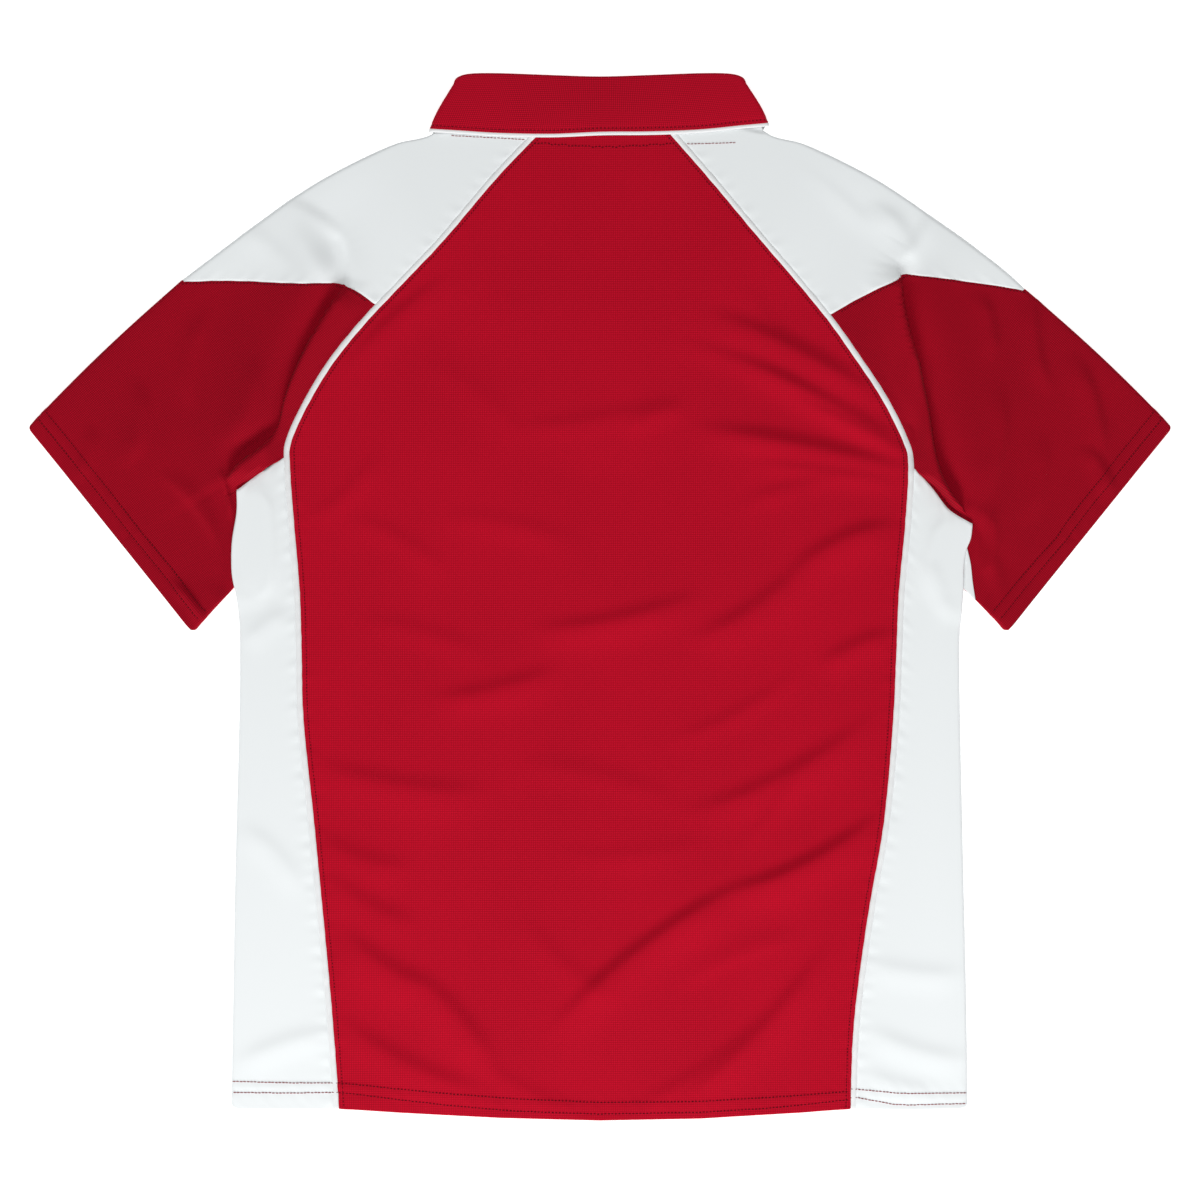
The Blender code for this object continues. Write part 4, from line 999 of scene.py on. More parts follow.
@dataclass(frozen=True)
class ThreadFinish(RidgedFinish):
    """Spun polyester sewing thread: two plies twisted, slightly shiny where they bulge, with
    painted shade in the grooves between them.
    """

    strength: float = 0.5
    twist: float = 0.9      # length of a ply's turn along the thread, in millimetres
    girth: float = 0.7      # and round it

    def paint(self, tree: bpy.types.NodeTree) -> bpy.types.Node:
        """Make the twist: a sine wave on the sum of the places along and round the thread.

        Args:
            tree: The material's tree.
        Returns:
            The shader.
        """
        along, across = (2 * math.pi / (length * MM) for length in (self.twist, self.girth))
        cut = add_node(tree, "ShaderNodeUVMap", {"uv_map": "cut"})
        turns = add_node(tree, "ShaderNodeVectorMath", {"operation": "DOT_PRODUCT"},
                         {0: cut.outputs["UV"], 1: (along, across, 0.0)})
        wave = add_node(tree, "ShaderNodeMath", {"operation": "SINE"},
                        {0: turns.outputs["Value"]})
        return add_node(tree, "ShaderNodeBsdfPrincipled", None,
                        {"Roughness": 0.8, "Specular IOR Level": 0.1,
                         **self.ridges(tree, wave.outputs[0])})


@dataclass(frozen=True)
class CloudedFinish(Finish):
    """A smooth finish with faint clouds: slow noise between two close colours.

    Polished polyester resin is glossy, with clouds from the casting. The acrylic of a light
    table is matt and lit from below, so that no shadow shows on it.
    """

    scale: float            # of the noise, for each metre
    detail: float
    distortion: float
    shader: tuple[tuple[str, float], ...]

    def paint(self, tree: bpy.types.NodeTree) -> bpy.types.Node:
        """Colour the shader by the noise and return it."""
        place = add_node(tree, "ShaderNodeTexCoord")
        noise = add_node(tree, "ShaderNodeTexNoise", None,
                         {"Vector": place.outputs["Object"], "Scale": self.scale,
                          "Detail": self.detail, "Distortion": self.distortion})
        return add_node(tree, "ShaderNodeBsdfPrincipled", None,
                        {"Base Color": self.tone(tree, noise.outputs["Fac"]),
                         "Emission Color": (1.0, 1.0, 1.0, 1.0), **dict(self.shader)})


# On the knits, the tape and the threads the first colour is painted shade in pits and grooves; the
# knits' last colour is slow clouds in the dye.
RED_BODY = KnitFinish("red_body_knit", "#8A0418", "#D2082B", "#BC0725")
RED_SLEEVE = KnitFinish("red_sleeve_knit", "#660210", "#BC0524", "#A2041C")
RED_COLLAR = KnitFinish("red_collar_knit", "#7A0415", "#D6092D", "#BC0826", relief=0.14)
WHITE_KNIT = KnitFinish("white_knit", "#CDD3D8", "#F6F8FB", "#ECF0F2")
PIPING_TAPE = TapeFinish("white_piping_tape", "#DADCDC", "#EAEBEC")
RED_THREAD = ThreadFinish("red_thread", "#6A101C", "#94202E")
DARK_THREAD = ThreadFinish("dark_red_thread", "#360209", "#640515")
RED_RESIN = CloudedFinish("red_resin", "#8A0A18", "#6C0612", 260.0, 3.0, 1.5,
                          (("Roughness", 0.22), ("IOR", 1.54)))
WHITE_BOARD = CloudedFinish("white_board", "#FAFAFA", "#F7F7F7", 2.0, 2.0, 0.0,
                            (("Roughness", 0.9), ("Specular IOR Level", 0.1),
                             ("Emission Strength", 0.5)))


def dress(piece: bpy.types.Object, finish: Finish, node: str = "") -> None:
    """Dress a piece and hang it on the shirt's body.

    Args:
        piece: The finished mesh.
        finish: Its finish.
        node: The solid that it stands for, if there is one.
    """
    piece.data.materials.append(finish.material())
    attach(piece, "root")
    if node:
        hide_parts(node)
    LOG.info("%s: %d faces", piece.name, len(piece.data.polygons))


@dataclass
class SewnPiece:
    """What each cloth piece of the shirt says of itself.

    Attributes:
        node: The solid that it stands for.
        slot: Its material slot.
        flat: Width and length of the cut in metres.
        area: The cut's area in square metres.
        rests_on: What it lies on.
        grain: How its wales run.
    """

    node: str
    slot: str
    flat: tuple[float, float]
    area: float
    rests_on: tuple[str, ...] = ("front_panel",)
    grain: Grain = Grain.BODY

    def enlist(self, piece: bpy.types.Object, finish: Finish,
               with_pieces: list[bpy.types.Object] | None = None) -> None:
        """Dress a piece and hang it on the shirt's body.

        Args:
            piece: The finished mesh.
            finish: Its finish.
            with_pieces: Small pieces that lie on it; not used.
        """
        dress(piece, finish, self.node)


@dataclass
class SidePiece(SewnPiece):
    """A cloth piece of one side of the shirt, which its node's name ends with."""

    hand: Hand = Hand.LEFT

    def __post_init__(self) -> None:
        """Add the side to the node's name."""
        self.node += "_" + self.hand.value


def edge_roll(distance: Array, drop: float = 0.45, width: float = 0.9) -> Array:
    """Return how far a seamed edge rolls down: a bell curve of the distance from it."""
    return -drop * np.exp(-(distance / width) ** 2)


def pucker(distance: Array, along: Array, height: float = 0.16) -> Array:
    """Return the ripples of a sewn seam: uneven waves along it that fade away from it.

    Args:
        distance: Distance from the seam.
        along: Place along it.
        height: The ripples' height.
    Returns:
        The height to add.
    """
    wave = np.sin(along / 1.9) + 0.7 * np.sin(along / 3.1 + 1.3) + 0.5 * np.sin(along / 5.3)
    return height * wave * np.exp(-(distance / 7.0) ** 2) * smooth_step(distance, 0.0, 1.5)


def run_lengths(grid: Array, axis: int, from_end: bool = False) -> Array:
    """Add up the lengths of a grid's lines along one axis.

    Args:
        grid: Points in space or in plan.
        axis: 0 down the rows, 1 across the columns.
        from_end: Whether to start from the last point.
    Returns:
        The length up to each point, shape (rows, columns).
    """
    steps = np.linalg.norm(np.diff(grid, axis=axis), axis=-1)
    zero = np.zeros_like(np.take(steps, [0], axis=axis))
    run = np.concatenate([zero, np.cumsum(steps, axis=axis)], axis=axis)
    return np.take(run, [-1], axis=axis) - run if from_end else run


def round_corners(grid: Array, across: Array, radius: float,
                  ends: tuple[bool, bool]) -> Array:
    """Draw a folded piece's open edge in at its corners, as quarter circles.

    Args:
        grid: Points, the open edge in the first row, shape (rows, columns, 3).
        across: The edge's direction in plan.
        radius: The corners' radius.
        ends: Whether the corners at the edge's start and at its end are rounded.
    Returns:
        The moved points.
    """
    across = unit(across)
    inward = np.array([-across[1], across[0], 0.0])
    if ((grid[-1] - grid[0]).mean(0) * inward).sum() < 0.0:
        inward = -inward
    place = grid[0, :, :2] @ across
    short = np.zeros(len(place))
    for wanted, gap in zip(ends, (place - place.min(), place.max() - place)):
        if wanted:
            short = np.maximum(short, radius - gap)
    retreat = radius - np.sqrt(radius ** 2 - np.minimum(short, 0.99 * radius) ** 2)
    near = 1.0 - smooth_step(run_lengths(grid, 0), 0.0, 3 * radius)
    return grid + (near * retreat)[..., None] * inward


def line_at(values: Array, distance: Array, wanted: float | Array) -> Array:
    """Read a grid where its distance has a given value, once in each row.

    Args:
        values: Grid of vectors, shape (rows, columns, n).
        distance: Grid that rises along the columns.
        wanted: The distance to read at, one for all or one for each row.
    Returns:
        The vectors, shape (rows, n).
    """
    wanted = np.broadcast_to(wanted, len(distance))
    place = np.clip((distance < wanted[:, None]).sum(1), 1, distance.shape[1] - 1)
    row = np.arange(len(distance))
    low, high = distance[row, place - 1], distance[row, place]
    part = np.clip((wanted - low) / np.maximum(high - low, 1e-9), 0.0, 1.0)[:, None]
    return values[row, place - 1] * (1.0 - part) + values[row, place] * part


@dataclass
class StitchRow:
    """A row of machine stitches on a surface.

    Attributes:
        line: Points on the cloth and its normals there, shape (n, 6).
        pitch: From one stitch to the next.
        length: Length of the thread that shows of each.
        radius: The thread's radius, about twice the real one, which would be too fine to show.
        lift: How far the middle of a stitch stands over its ends.
        wander: How far the row strays sideways.
        rings: Rings of points along a stitch.
        sides: Points round a ring.
    """

    line: Array
    pitch: float = 2.7
    length: float = 1.9
    radius: float = 0.36
    lift: float = 0.22
    wander: float = 0.12
    rings: int = 5
    sides: int = 6

    def mesh_arrays(self, rng: np.random.Generator) -> tuple[Array, Array, Array]:
        """Work out the stitches: a bent capsule each, its ends sunk in the cloth.

        The centre line follows the row and rises as a sine arch; the radius swells as the
        root of a sine from its ends to its middle.

        Args:
            rng: Source of the small unevenness.
        Returns:
            Points, quads and flat places.
        """
        lengths = lengths_along(self.line[:, :3])
        count = max(int(lengths[-1] / self.pitch), 1)
        start = (np.arange(count) + 0.15) * self.pitch + rng.uniform(-0.12, 0.12, count)
        t = np.linspace(0.0, 1.0, self.rings)
        place = np.clip(start[:, None] + t * self.length, 0.0, lengths[-1])
        read = np.stack([np.interp(place, lengths, column) for column in self.line.T], -1)
        centre, up = read[..., :3], unit(read[..., 3:])
        across = np.cross(unit(np.gradient(centre, axis=1)), up)
        stray = rng.uniform(-self.wander, self.wander, (count, 1, 1))
        tilt = rng.uniform(-self.wander, self.wander, (count, 1, 1)) * (t[None, :, None] - 0.5)
        arch = np.sin(math.pi * t)[None, :, None]
        centre = centre + across * (stray + tilt) + up * (self.lift * arch - 0.35 * self.radius)
        radius = self.radius * (0.35 + 0.65 * np.sqrt(arch))
        angle = np.arange(self.sides) * 2 * math.pi / self.sides
        ring = (across[:, :, None] * np.cos(angle)[:, None] + up[:, :, None]
                * np.sin(angle)[:, None])
        points = centre[:, :, None] + radius[..., None] * ring
        number = numbers(*points.shape[:3])
        quads = quads_of(np.concatenate([number, number[..., :1]], axis=2)).reshape(-1, 4)
        caps = [end[:, picks] for end in (number[:, 0, ::-1], number[:, -1])
                for picks in ([0, 1, 2, 3], [0, 3, 4, 5])]
        quads = np.vstack([quads, *caps])[:, ::-1]
        flat = np.stack(np.broadcast_arrays(place[:, :, None], angle * self.radius), -1)
        return points.reshape(-1, 3), quads, flat.reshape(-1, 2)[quads]


def stitch_piece(name: str, rows: list[StitchRow], finish: ThreadFinish) -> bpy.types.Object:
    """Join rows of stitches into one object.

    Args:
        name: The object's name.
        rows: The rows.
        finish: The thread's finish.
    Returns:
        The object, riding on the shirt.
    """
    rng = np.random.default_rng(SEED)
    points, faces, flats, base = [], [], [], 0
    for row in rows:
        made, quads, flat = row.mesh_arrays(rng)
        points.append(made)
        faces.append(quads + base)
        flats.append(flat)
        base += len(made)
    piece = mesh_object(name, np.vstack(points), np.vstack(faces), np.concatenate(flats))
    dress(piece, finish)
    return piece


# Distance of the two rows of hem stitches from the hem's edge
BODY_HEM_ROWS = table(
    "x lower upper", (-283, 12, 20.5), (-200, 12.3, 19.5), (-120, 7.5, 16.5), (-62, 5, 14.6),
    (0, 4.4, 13.2), (130, 4.4, 12.6), (192, 6.7, 13), (197, 8.3, 14.8), (227, 3.6, 12.6),
    (283, 3.4, 11.6))
CUFF_ROWS = table("x lower upper", (0, 10, 18))


@dataclass(frozen=True)
class HemStyle:
    """A turned-up hem with two rows of stitches."""

    rows: dict[str, Array] = field(default_factory=lambda: BODY_HEM_ROWS)
    proud: float = 0.35     # the doubled cloth's step
    rope: float = 0.08      # height of the ripples between the rows
    dent: float = 0.3       # depth that the stitches draw in

    def row(self, name: str, along: Array | float) -> Array | float:
        """Return the distance from the edge of the "lower" or "upper" row of stitches."""
        return np.interp(along, self.rows["x"], self.rows[name])

    def lines(self, skin: Array, distance: Array, along: Array | float) -> list[Array]:
        """Find both rows of stitches on a skin.

        Args:
            skin: Outer points and normals, away from the hem along the columns.
            distance: Distance of each point from the hem's edge.
            along: Place of each row of the skin along the hem.
        Returns:
            The lower and the upper line, shape (rows, 6) each.
        """
        return [line_at(skin, distance, self.row(name, along)) for name in ("lower", "upper")]

    def puff(self, distance: Array, along: Array) -> Array:
        """Return how far the hem's outside stands proud.

        The step at the upper stitches is an S curve, each row of stitches dents the cloth
        as a bell curve, and slanting ripples run between the rows.

        Args:
            distance: Distance from the hem's edge.
            along: Place along it.
        Returns:
            The height to add outside.
        """
        past = distance - self.row("upper", along)
        step = self.proud * (1.0 - smooth_step(past, -0.5, 2.0))
        dents = self.dent * np.exp(-(past / 1.3) ** 2)
        dents += self.dent * np.exp(-((distance - self.row("lower", along)) / 1.3) ** 2)
        band = plateau(distance, (0.0, 5.0), (16.0, 26.0))
        slant = along + 0.7 * distance
        rope = self.rope * (np.sin(slant / 1.7) + 0.6 * np.sin(slant / 2.9 + 2.0))
        return step - dents + band * rope


@dataclass
class BackPanel(SewnPiece):
    """The red back: one panel between the raglan and side seams."""

    node: str = "back_panel"
    slot: str = "red_knit"
    flat: tuple[float, float] = (0.478, 0.762)
    area: float = 0.300
    rows: int = 262
    columns: int = 138
    length: float = 750.0
    hem: HemStyle = field(default_factory=HemStyle)
    topstitch: float = 3.6      # from the seams
    tape_stitch: float = 11.5   # of the neck tape, from the neck

    def patch(self) -> Patch:
        """Lay rows between the seams: straight lines, with close stations at both seams.

        Returns:
            The panel's middle surface with its hem.
        """
        left, right = SIDES[Hand.LEFT], SIDES[Hand.RIGHT]
        stations = fine_ends(self.rows, self.length, start=False)
        heights = [np.interp(stations, PANEL_PARTS, side.end_heights())
                   for side in (left, right)]
        start, end = left.seam(heights[0]), right.seam(heights[1])
        width = np.linalg.norm(end - start, axis=1)[:, None]
        steps = np.append(0.0, SEAM_STEPS)
        inner = np.linspace(0.0, 1.0, self.columns)[1:-1]
        place = np.concatenate([np.broadcast_to(steps, (len(width), len(steps))),
                                SEAM_STEPS[-1] + inner * (width - 2 * SEAM_STEPS[-1]),
                                width - steps[::-1]], axis=1)
        points = start[:, None] + (end - start)[:, None] * (place / width)[..., None]
        low = smooth_step(stations, 0.82, 1.0)[:, None]
        points[..., 1] += low * (hem_y(points[-1:, :, 0]) - points[-1:, :, 1])
        height = DRAPE.back(points)
        run = np.arange(len(points))[:, None] * self.length / len(points)
        for distance in (place, width - place):
            height = height + edge_roll(distance) + pucker(distance, run)
        grid = surface(points, height)
        from_hem = run_lengths(grid, 0, from_end=True)
        puff = self.hem.puff(from_hem, points[..., 0])
        return Patch(self.node, grid, unroll(grid, [], math.radians(self.grain.value)),
                     puff=puff)

    def build(self) -> None:
        """Make the panel, its hem stitches, seam stitches and the neck tape's stitches."""
        patch = self.patch()
        skin = patch.skin()
        down = skin.swapaxes(0, 1)
        from_hem = run_lengths(patch.grid, 0, from_end=True)
        lines = self.hem.lines(down[:, ::-1], from_hem.T[:, ::-1], patch.grid[-1, :, 0])
        rows = [StitchRow(line) for line in lines]
        stitches = [stitch_piece("hem_stitches_back", rows, DARK_THREAD)]
        rows = []
        for way in (1, -1):
            from_seam = run_lengths(patch.grid, 1, from_end=way < 0)[:, ::way]
            line = line_at(skin[:, ::way], from_seam, self.topstitch)
            rows.append(StitchRow(line, pitch=2.6, length=1.7))
        stitches.append(stitch_piece("seam_stitches_back", rows, DARK_THREAD))
        line = line_at(down, run_lengths(patch.grid, 0).T, self.tape_stitch)
        rows = [StitchRow(line, pitch=2.6, length=2.0, wander=0.5)]
        stitches.append(stitch_piece("neck_stitches_back", rows, DARK_THREAD))
        self.enlist(patch.build(), RED_BODY, stitches)


@dataclass
class Piping(SidePiece):
    """White piping in a back seam: a flat folded tape, from neck to hem."""

    node: str = "piping"
    slot: str = "piping_tape"
    flat: tuple[float, float] = (0.0100, 0.860)
    area: float = 0.0046
    proud: float = 0.2

    def build(self) -> None:
        """Carry the piping's section along the seam: a low crown, rolled at both sides."""
        side = SIDES[self.hand]
        top, _, _, low = side.end_heights()
        heights = np.linspace(top, low, 330)
        across = np.array([0.0, 0.12, 0.35, 0.8, 1.5, 2.3, 3.1, 3.8, 4.25, 4.48, 4.6])
        across = across * PIPING_WIDTH / across[-1]
        lines = [side.seam(heights, SEAM_GAP + gap) for gap in across]
        points = np.stack(lines, axis=1)
        crown = self.proud + 0.25 * (1.0 - (2 * across / PIPING_WIDTH - 1.0) ** 2)
        outer_roll = edge_roll(PIPING_WIDTH - across, 0.35, 0.6)
        inner_roll = edge_roll(across, 0.6, 0.5)
        run = np.arange(len(points))[:, None] * 2.4     # about the rows' distance
        base = DRAPE.back(points) + pucker(across[None, :] + 1.0, run, 0.1)
        grid = surface(points, base + crown + outer_roll + inner_roll)
        flat = np.stack(np.broadcast_arrays(across, run), -1)
        if self.hand is Hand.LEFT:
            grid, flat = grid[:, ::-1], flat[:, ::-1]
        self.enlist(Patch(self.node, grid, flat, wall=0.8).build(), PIPING_TAPE)


@dataclass
class FoldedPiece(SidePiece):
    """A white piece whose back and front layers meet round a folded edge."""

    def back_skin(self, upper: Array, puff: Array | float = 0.0) -> Array:
        """Return the outside of the back layer, whose columns run out from the seam.

        Args:
            upper: The layer's points, shape (rows, columns, 3).
            puff: What the outside stands proud.
        Returns:
            Outer points and normals, shape (rows, columns, 6).
        """
        way = -1 if self.hand is Hand.LEFT else 1
        puff = np.broadcast_to(puff, upper.shape[:2])
        patch = Patch("", upper[:, ::way], np.zeros((*puff.shape, 2)), puff=puff[:, ::way])
        return patch.skin()[:, ::way]

    def join(self, upper: Array, lower: Array, out: Array, small: list[bpy.types.Object],
             puff: Array | float = 0.0, corner: float = 0.0) -> None:
        """Join the two layers round the folded edge into the piece.

        Args:
            upper: The back layer, from the seam to the fold.
            lower: The front layer, from the fold to the seam.
            out: The fold's outward normals in plan.
            small: Small pieces that lie on it.
            puff: What the outside stands proud, for each point.
            corner: Radius of the hem's corner at the fold, if it has a hem.
        """
        turn = SIDES[self.hand].turn
        bend = turn_round(upper[:, -1], lower[:, 0], out, TURN_SPANS)
        grid = np.concatenate([upper, bend, lower], axis=1)
        if corner:
            grid = round_corners(grid[::-1], np.array([-turn, 0.0]), corner, (False, True))[::-1]
        first = upper.shape[1] - 1
        grain = math.radians(self.grain.value) * -turn
        flat = unroll(grid, [(first, first + TURN_SPANS, out)], grain)
        puff = np.broadcast_to(puff, grid.shape[:2])
        if self.hand is Hand.LEFT:
            grid, flat, puff = grid[:, ::-1], flat[:, ::-1], puff[:, ::-1]
        self.enlist(Patch(self.node, grid, flat, puff=puff).build(), WHITE_KNIT, small)


# The shoulders' neck stitches: their distance from the neck beside the piping and at their
# end, and how far from the piping they reach
NECK_STITCH_DROP = {Hand.LEFT: (12.5, 8.5), Hand.RIGHT: (16.0, 16.5)}
NECK_STITCH_REACH = {Hand.LEFT: 62.0, Hand.RIGHT: 42.0}
# The hollow below the collar's ends: two distances from the shirt's middle, and how far it
# reaches from the neck there
NECK_HOLLOW = {Hand.LEFT: ((104.0, 125.0), (0.0, 8.0)), Hand.RIGHT: ((90.0, 125.0), (0.0, 10.0))}
NECK_HOLLOW_DEPTH = 1.0
NECK_HOLLOW_FLANK = 4.5     # width of its slope


@dataclass
class Shoulder(FoldedPiece):
    """White raglan yoke: from the back seam over the shoulder to the front seam."""

    node: str = "shoulder"
    slot: str = "white_knit"
    flat: tuple[float, float] = (0.250, 0.290)
    area: float = 0.0340
    rests_on: tuple[str, ...] = ("front_panel", "collar")
    grain: Grain = Grain.YOKE
    rows: int = 72
    columns: int = 54

    def build(self) -> None:
        """Lay rows from the back seam to the shoulder edge, round it and back below."""
        side = SIDES[self.hand]
        top, seam_end, _, _ = side.end_heights()
        t = fine_ends(self.rows, 190.0, start=False)
        heights = top + (seam_end - top) * t
        inner, front = side.beside_piping(heights), side.front_seam(heights, SEAM_GAP)
        stations = np.interp(t, np.linspace(0.0, 1.0, len(SHOULDER_STATIONS)), SHOULDER_STATIONS)
        fold, out = shoulder_fold(side, stations)
        part = fine_ends(self.columns, 150.0, end=False)
        back = lay_rows(inner, fold, part, t, last=sleeve_seam(side, 1.0 - part))
        under = lay_rows(fold, front, np.linspace(0.0, 1.0, 30), t,
                         last=sleeve_seam(side, np.linspace(0.0, 1.0, 30), on_front=True))
        height = DRAPE.back(back, side)
        from_seam = run_lengths(back, 1)
        from_sleeve = run_lengths(back, 0, from_end=True)
        run = heights[:, None] * 1.4    # the seam slants, so it is longer than it is high
        height = height + edge_roll(from_seam, 0.2) + edge_roll(from_sleeve, 0.35)
        height = height + pucker(from_seam, run) + pucker(from_sleeve, from_seam)
        from_neck = run_lengths(back, 0)
        reach = np.interp(np.abs(back[..., 0]), *NECK_HOLLOW[self.hand])
        hollow = 1.0 - smooth_step(from_neck, reach - NECK_HOLLOW_FLANK, reach)
        height = height - NECK_HOLLOW_DEPTH * hollow
        upper = surface(DRAPE.lean(back, side), height)
        lower = surface(under, DRAPE.front(under))
        sewn = int(np.searchsorted(from_seam[0], NECK_STITCH_REACH[self.hand]))
        skin = self.back_skin(upper).swapaxes(0, 1)[:sewn]
        drop = np.linspace(*NECK_STITCH_DROP[self.hand], sewn)
        line = line_at(skin, run_lengths(upper, 0).T[:sewn], drop)
        rows = [StitchRow(line, length=2.6, radius=0.3)]
        stitches = stitch_piece("neck_stitches_" + self.hand.value, rows, RED_THREAD)
        self.join(upper, lower, out, [stitches])


def shoulder_fold(side: SideCut, stations: Array) -> tuple[Array, Array]:
    """Return where the shoulder's half circles start, and their outward normals."""
    edge = at_fraction(side.shoulder_edge, stations)
    out = normals_of(at_fraction(side.shoulder_edge, np.linspace(0, 1, 60)), side.turn)
    out = np.column_stack([np.interp(stations, np.linspace(0, 1, 60), column)
                           for column in out.T])
    out = unit(out)
    return inset_of(edge, out, DRAPE.back(edge, side), DRAPE.front(edge)), out


def side_fold(side: SideCut, part: Array) -> tuple[Array, Array]:
    """Return where the side panel's half circles start, and their outward normals."""
    top, low = side.side_edge[0, 1], side.side_edge[-1, 1]
    edge = at_height(side.side_edge, top + (low - top) * part)
    out = normals_of(edge, side.turn)
    return inset_of(edge, out, DRAPE.back(edge), DRAPE.front(edge, over_tuck=True)), out


def sleeve_seam(side: SideCut, fraction: Array, on_front: bool = False) -> Array:
    """Return the seam between shoulder and sleeve, from the edge in."""
    edge_point = shoulder_fold(side, np.array([1.0]))[0]
    height = np.array([SLEEVE_SEAM_Y[side.hand]])
    if on_front:
        path = np.vstack([edge_point, side.front_seam(height, SEAM_GAP)])
    else:
        path = smooth_path(np.vstack([edge_point, plan(SLEEVE_SEAM[side.hand]),
                                      side.beside_piping(height)]))
    return at_fraction(path, fraction)


def armpit_seam(side: SideCut, fraction: Array, on_front: bool = False) -> Array:
    """Return the seam between sleeve and side panel, from the body out to the edge."""
    edge_point = side_fold(side, np.array([0.0, 0.001]))[0][:1]
    height = np.array([ARMPIT_Y[side.hand]])
    beside = side.front_seam(height, SEAM_GAP) if on_front else side.beside_piping(height)
    path = smooth_path(np.vstack([beside, plan(SIDE_TOP_SEAM[side.hand]), edge_point]))
    return at_fraction(path, fraction)


def lay_rows(starts: Array, ends: Array, fractions: Array, t: Array,
             first: Array | None = None, last: Array | None = None,
             fade: float = 0.45) -> Array:
    """Lay straight rows of plan points from starts to ends, and bend the outermost ones.

    Args:
        starts: Where the rows start, shape (rows, 2).
        ends: Where they end.
        fractions: The columns' places from 0 to 1.
        t: The rows' places from 0 to 1.
        first: A line that the first row follows instead; its bend dies out over fade.
        last: The same for the last row.
        fade: Part of the rows over which a bend dies out.
    Returns:
        Plan points, shape (rows, columns, 2).
    """
    rows = starts[:, None] + (ends - starts)[:, None] * fractions[None, :, None]
    t = t[:, None, None]
    if first is not None:
        rows = rows + (first - rows[0]) * (1.0 - smooth_step(t, 0.0, fade))
    if last is not None:
        rows = rows + (last - rows[-1]) * smooth_step(t, 1.0 - fade, 1.0)
    return rows


@dataclass
class Pleat:
    """Pleat of the right side panel, which peeps out under its folded edge."""

    name: str = "side_pleat_right"
    inner: dict[str, Array] = field(default_factory=lambda: table(
        "x y", (280.6, 37.5), (280.2, 25.0), (279.9, 6.8)))
    outer: dict[str, Array] = field(default_factory=lambda: table(
        "x y", (282.2, 37.5), (284.9, 25.6), (286.4, 11.8), (288.6, -2.2)))
    height: float = 2.95
    wall: float = 0.6

    def build(self) -> bpy.types.Object:
        """Lay rows between its two edges, slightly arched as a sine.

        Returns:
            The pleat, riding on the shirt.
        """
        part = np.linspace(0.0, 1.0, 24)
        share = np.linspace(0.0, 1.0, 9)[None, :, None]
        inner, outer = (at_fraction(smooth_path(plan(edge)), part)[:, None]
                        for edge in (self.inner, self.outer))
        rows = inner + (outer - inner) * share
        grid = surface(rows, self.height + 0.3 * np.sin(math.pi * share[..., 0]))
        piece = Patch(self.name, grid, rows, wall=self.wall).build()
        dress(piece, WHITE_KNIT)
        return piece


@dataclass
class SidePanel(FoldedPiece):
    """White side panel: from the back seam round the side to the front seam."""

    node: str = "side"
    slot: str = "white_knit"
    flat: tuple[float, float] = (0.190, 0.520)
    area: float = 0.0585
    rows: int = 190
    columns: int = 34
    hem: HemStyle = field(default_factory=HemStyle)
    corner: float = 4.5
    # How far outwards and up each hem row goes on: two points over the piping, one at the fold
    stitch_ends: tuple[tuple[float, ...], ...] = ((-4.6, -0.5, 2.3), (0.35, 0.35, -0.3))

    def build(self) -> None:
        """Lay rows from the back seam to the side edge, round it and back below."""
        side = SIDES[self.hand]
        _, _, top, low = side.end_heights()
        t = fine_ends(self.rows, 500.0)
        heights = top + (low - top) * t
        inner, front = side.beside_piping(heights), side.front_seam(heights, SEAM_GAP)
        fold, out = side_fold(side, t)
        part = fine_ends(self.columns, 60.0, end=False)
        lower_part = np.linspace(0.0, 1.0, 16)
        back = lay_rows(inner, fold, part, t, first=armpit_seam(side, part), fade=0.22)
        under = lay_rows(fold, front, lower_part, t, fade=0.22,
                         first=armpit_seam(side, lower_part[::-1], on_front=True))
        for rows in (back, under):
            bend = smooth_step(t, 0.67, 1.0)[:, None]
            rows[..., 1] += bend * (hem_y(rows[-1:, :, 0]) - rows[-1:, :, 1])
        from_seam = run_lengths(back, 1)
        from_top = run_lengths(back, 0)
        height = DRAPE.back(back) + edge_roll(from_seam, 0.5) + edge_roll(from_top, 0.4)
        height = height + pucker(from_seam, heights[:, None] * 1.1) + pucker(from_top, from_seam)
        upper = surface(back, height)
        lower = surface(under, DRAPE.front(under, over_tuck=True))
        from_hem = run_lengths(upper, 0, from_end=True)
        hem_puff = self.hem.puff(from_hem, back[..., 0])
        fade = np.append(np.linspace(0.9, 0.0, TURN_SPANS - 1), np.zeros(len(lower_part)))
        puff = np.concatenate([hem_puff, hem_puff[:, -1:] * fade], axis=1)
        skin = self.back_skin(upper, hem_puff).swapaxes(0, 1)[:, ::-1]
        rows = []
        for line in self.hem.lines(skin, from_hem.T[:, ::-1], upper[-1, :, 0]):
            ends = line[[0, 0, -1]]
            ends[:, 0] -= side.turn * np.array(self.stitch_ends[0])
            ends[:, 2] += self.stitch_ends[1]
            rows.append(StitchRow(np.vstack([ends[:2], line, ends[2:]]), length=2.6))
        small = [stitch_piece("hem_stitches_" + self.hand.value, rows, RED_THREAD)]
        if self.hand is Hand.RIGHT:
            small.append(Pleat().build())
        self.join(upper, lower, out, small, puff, self.corner)


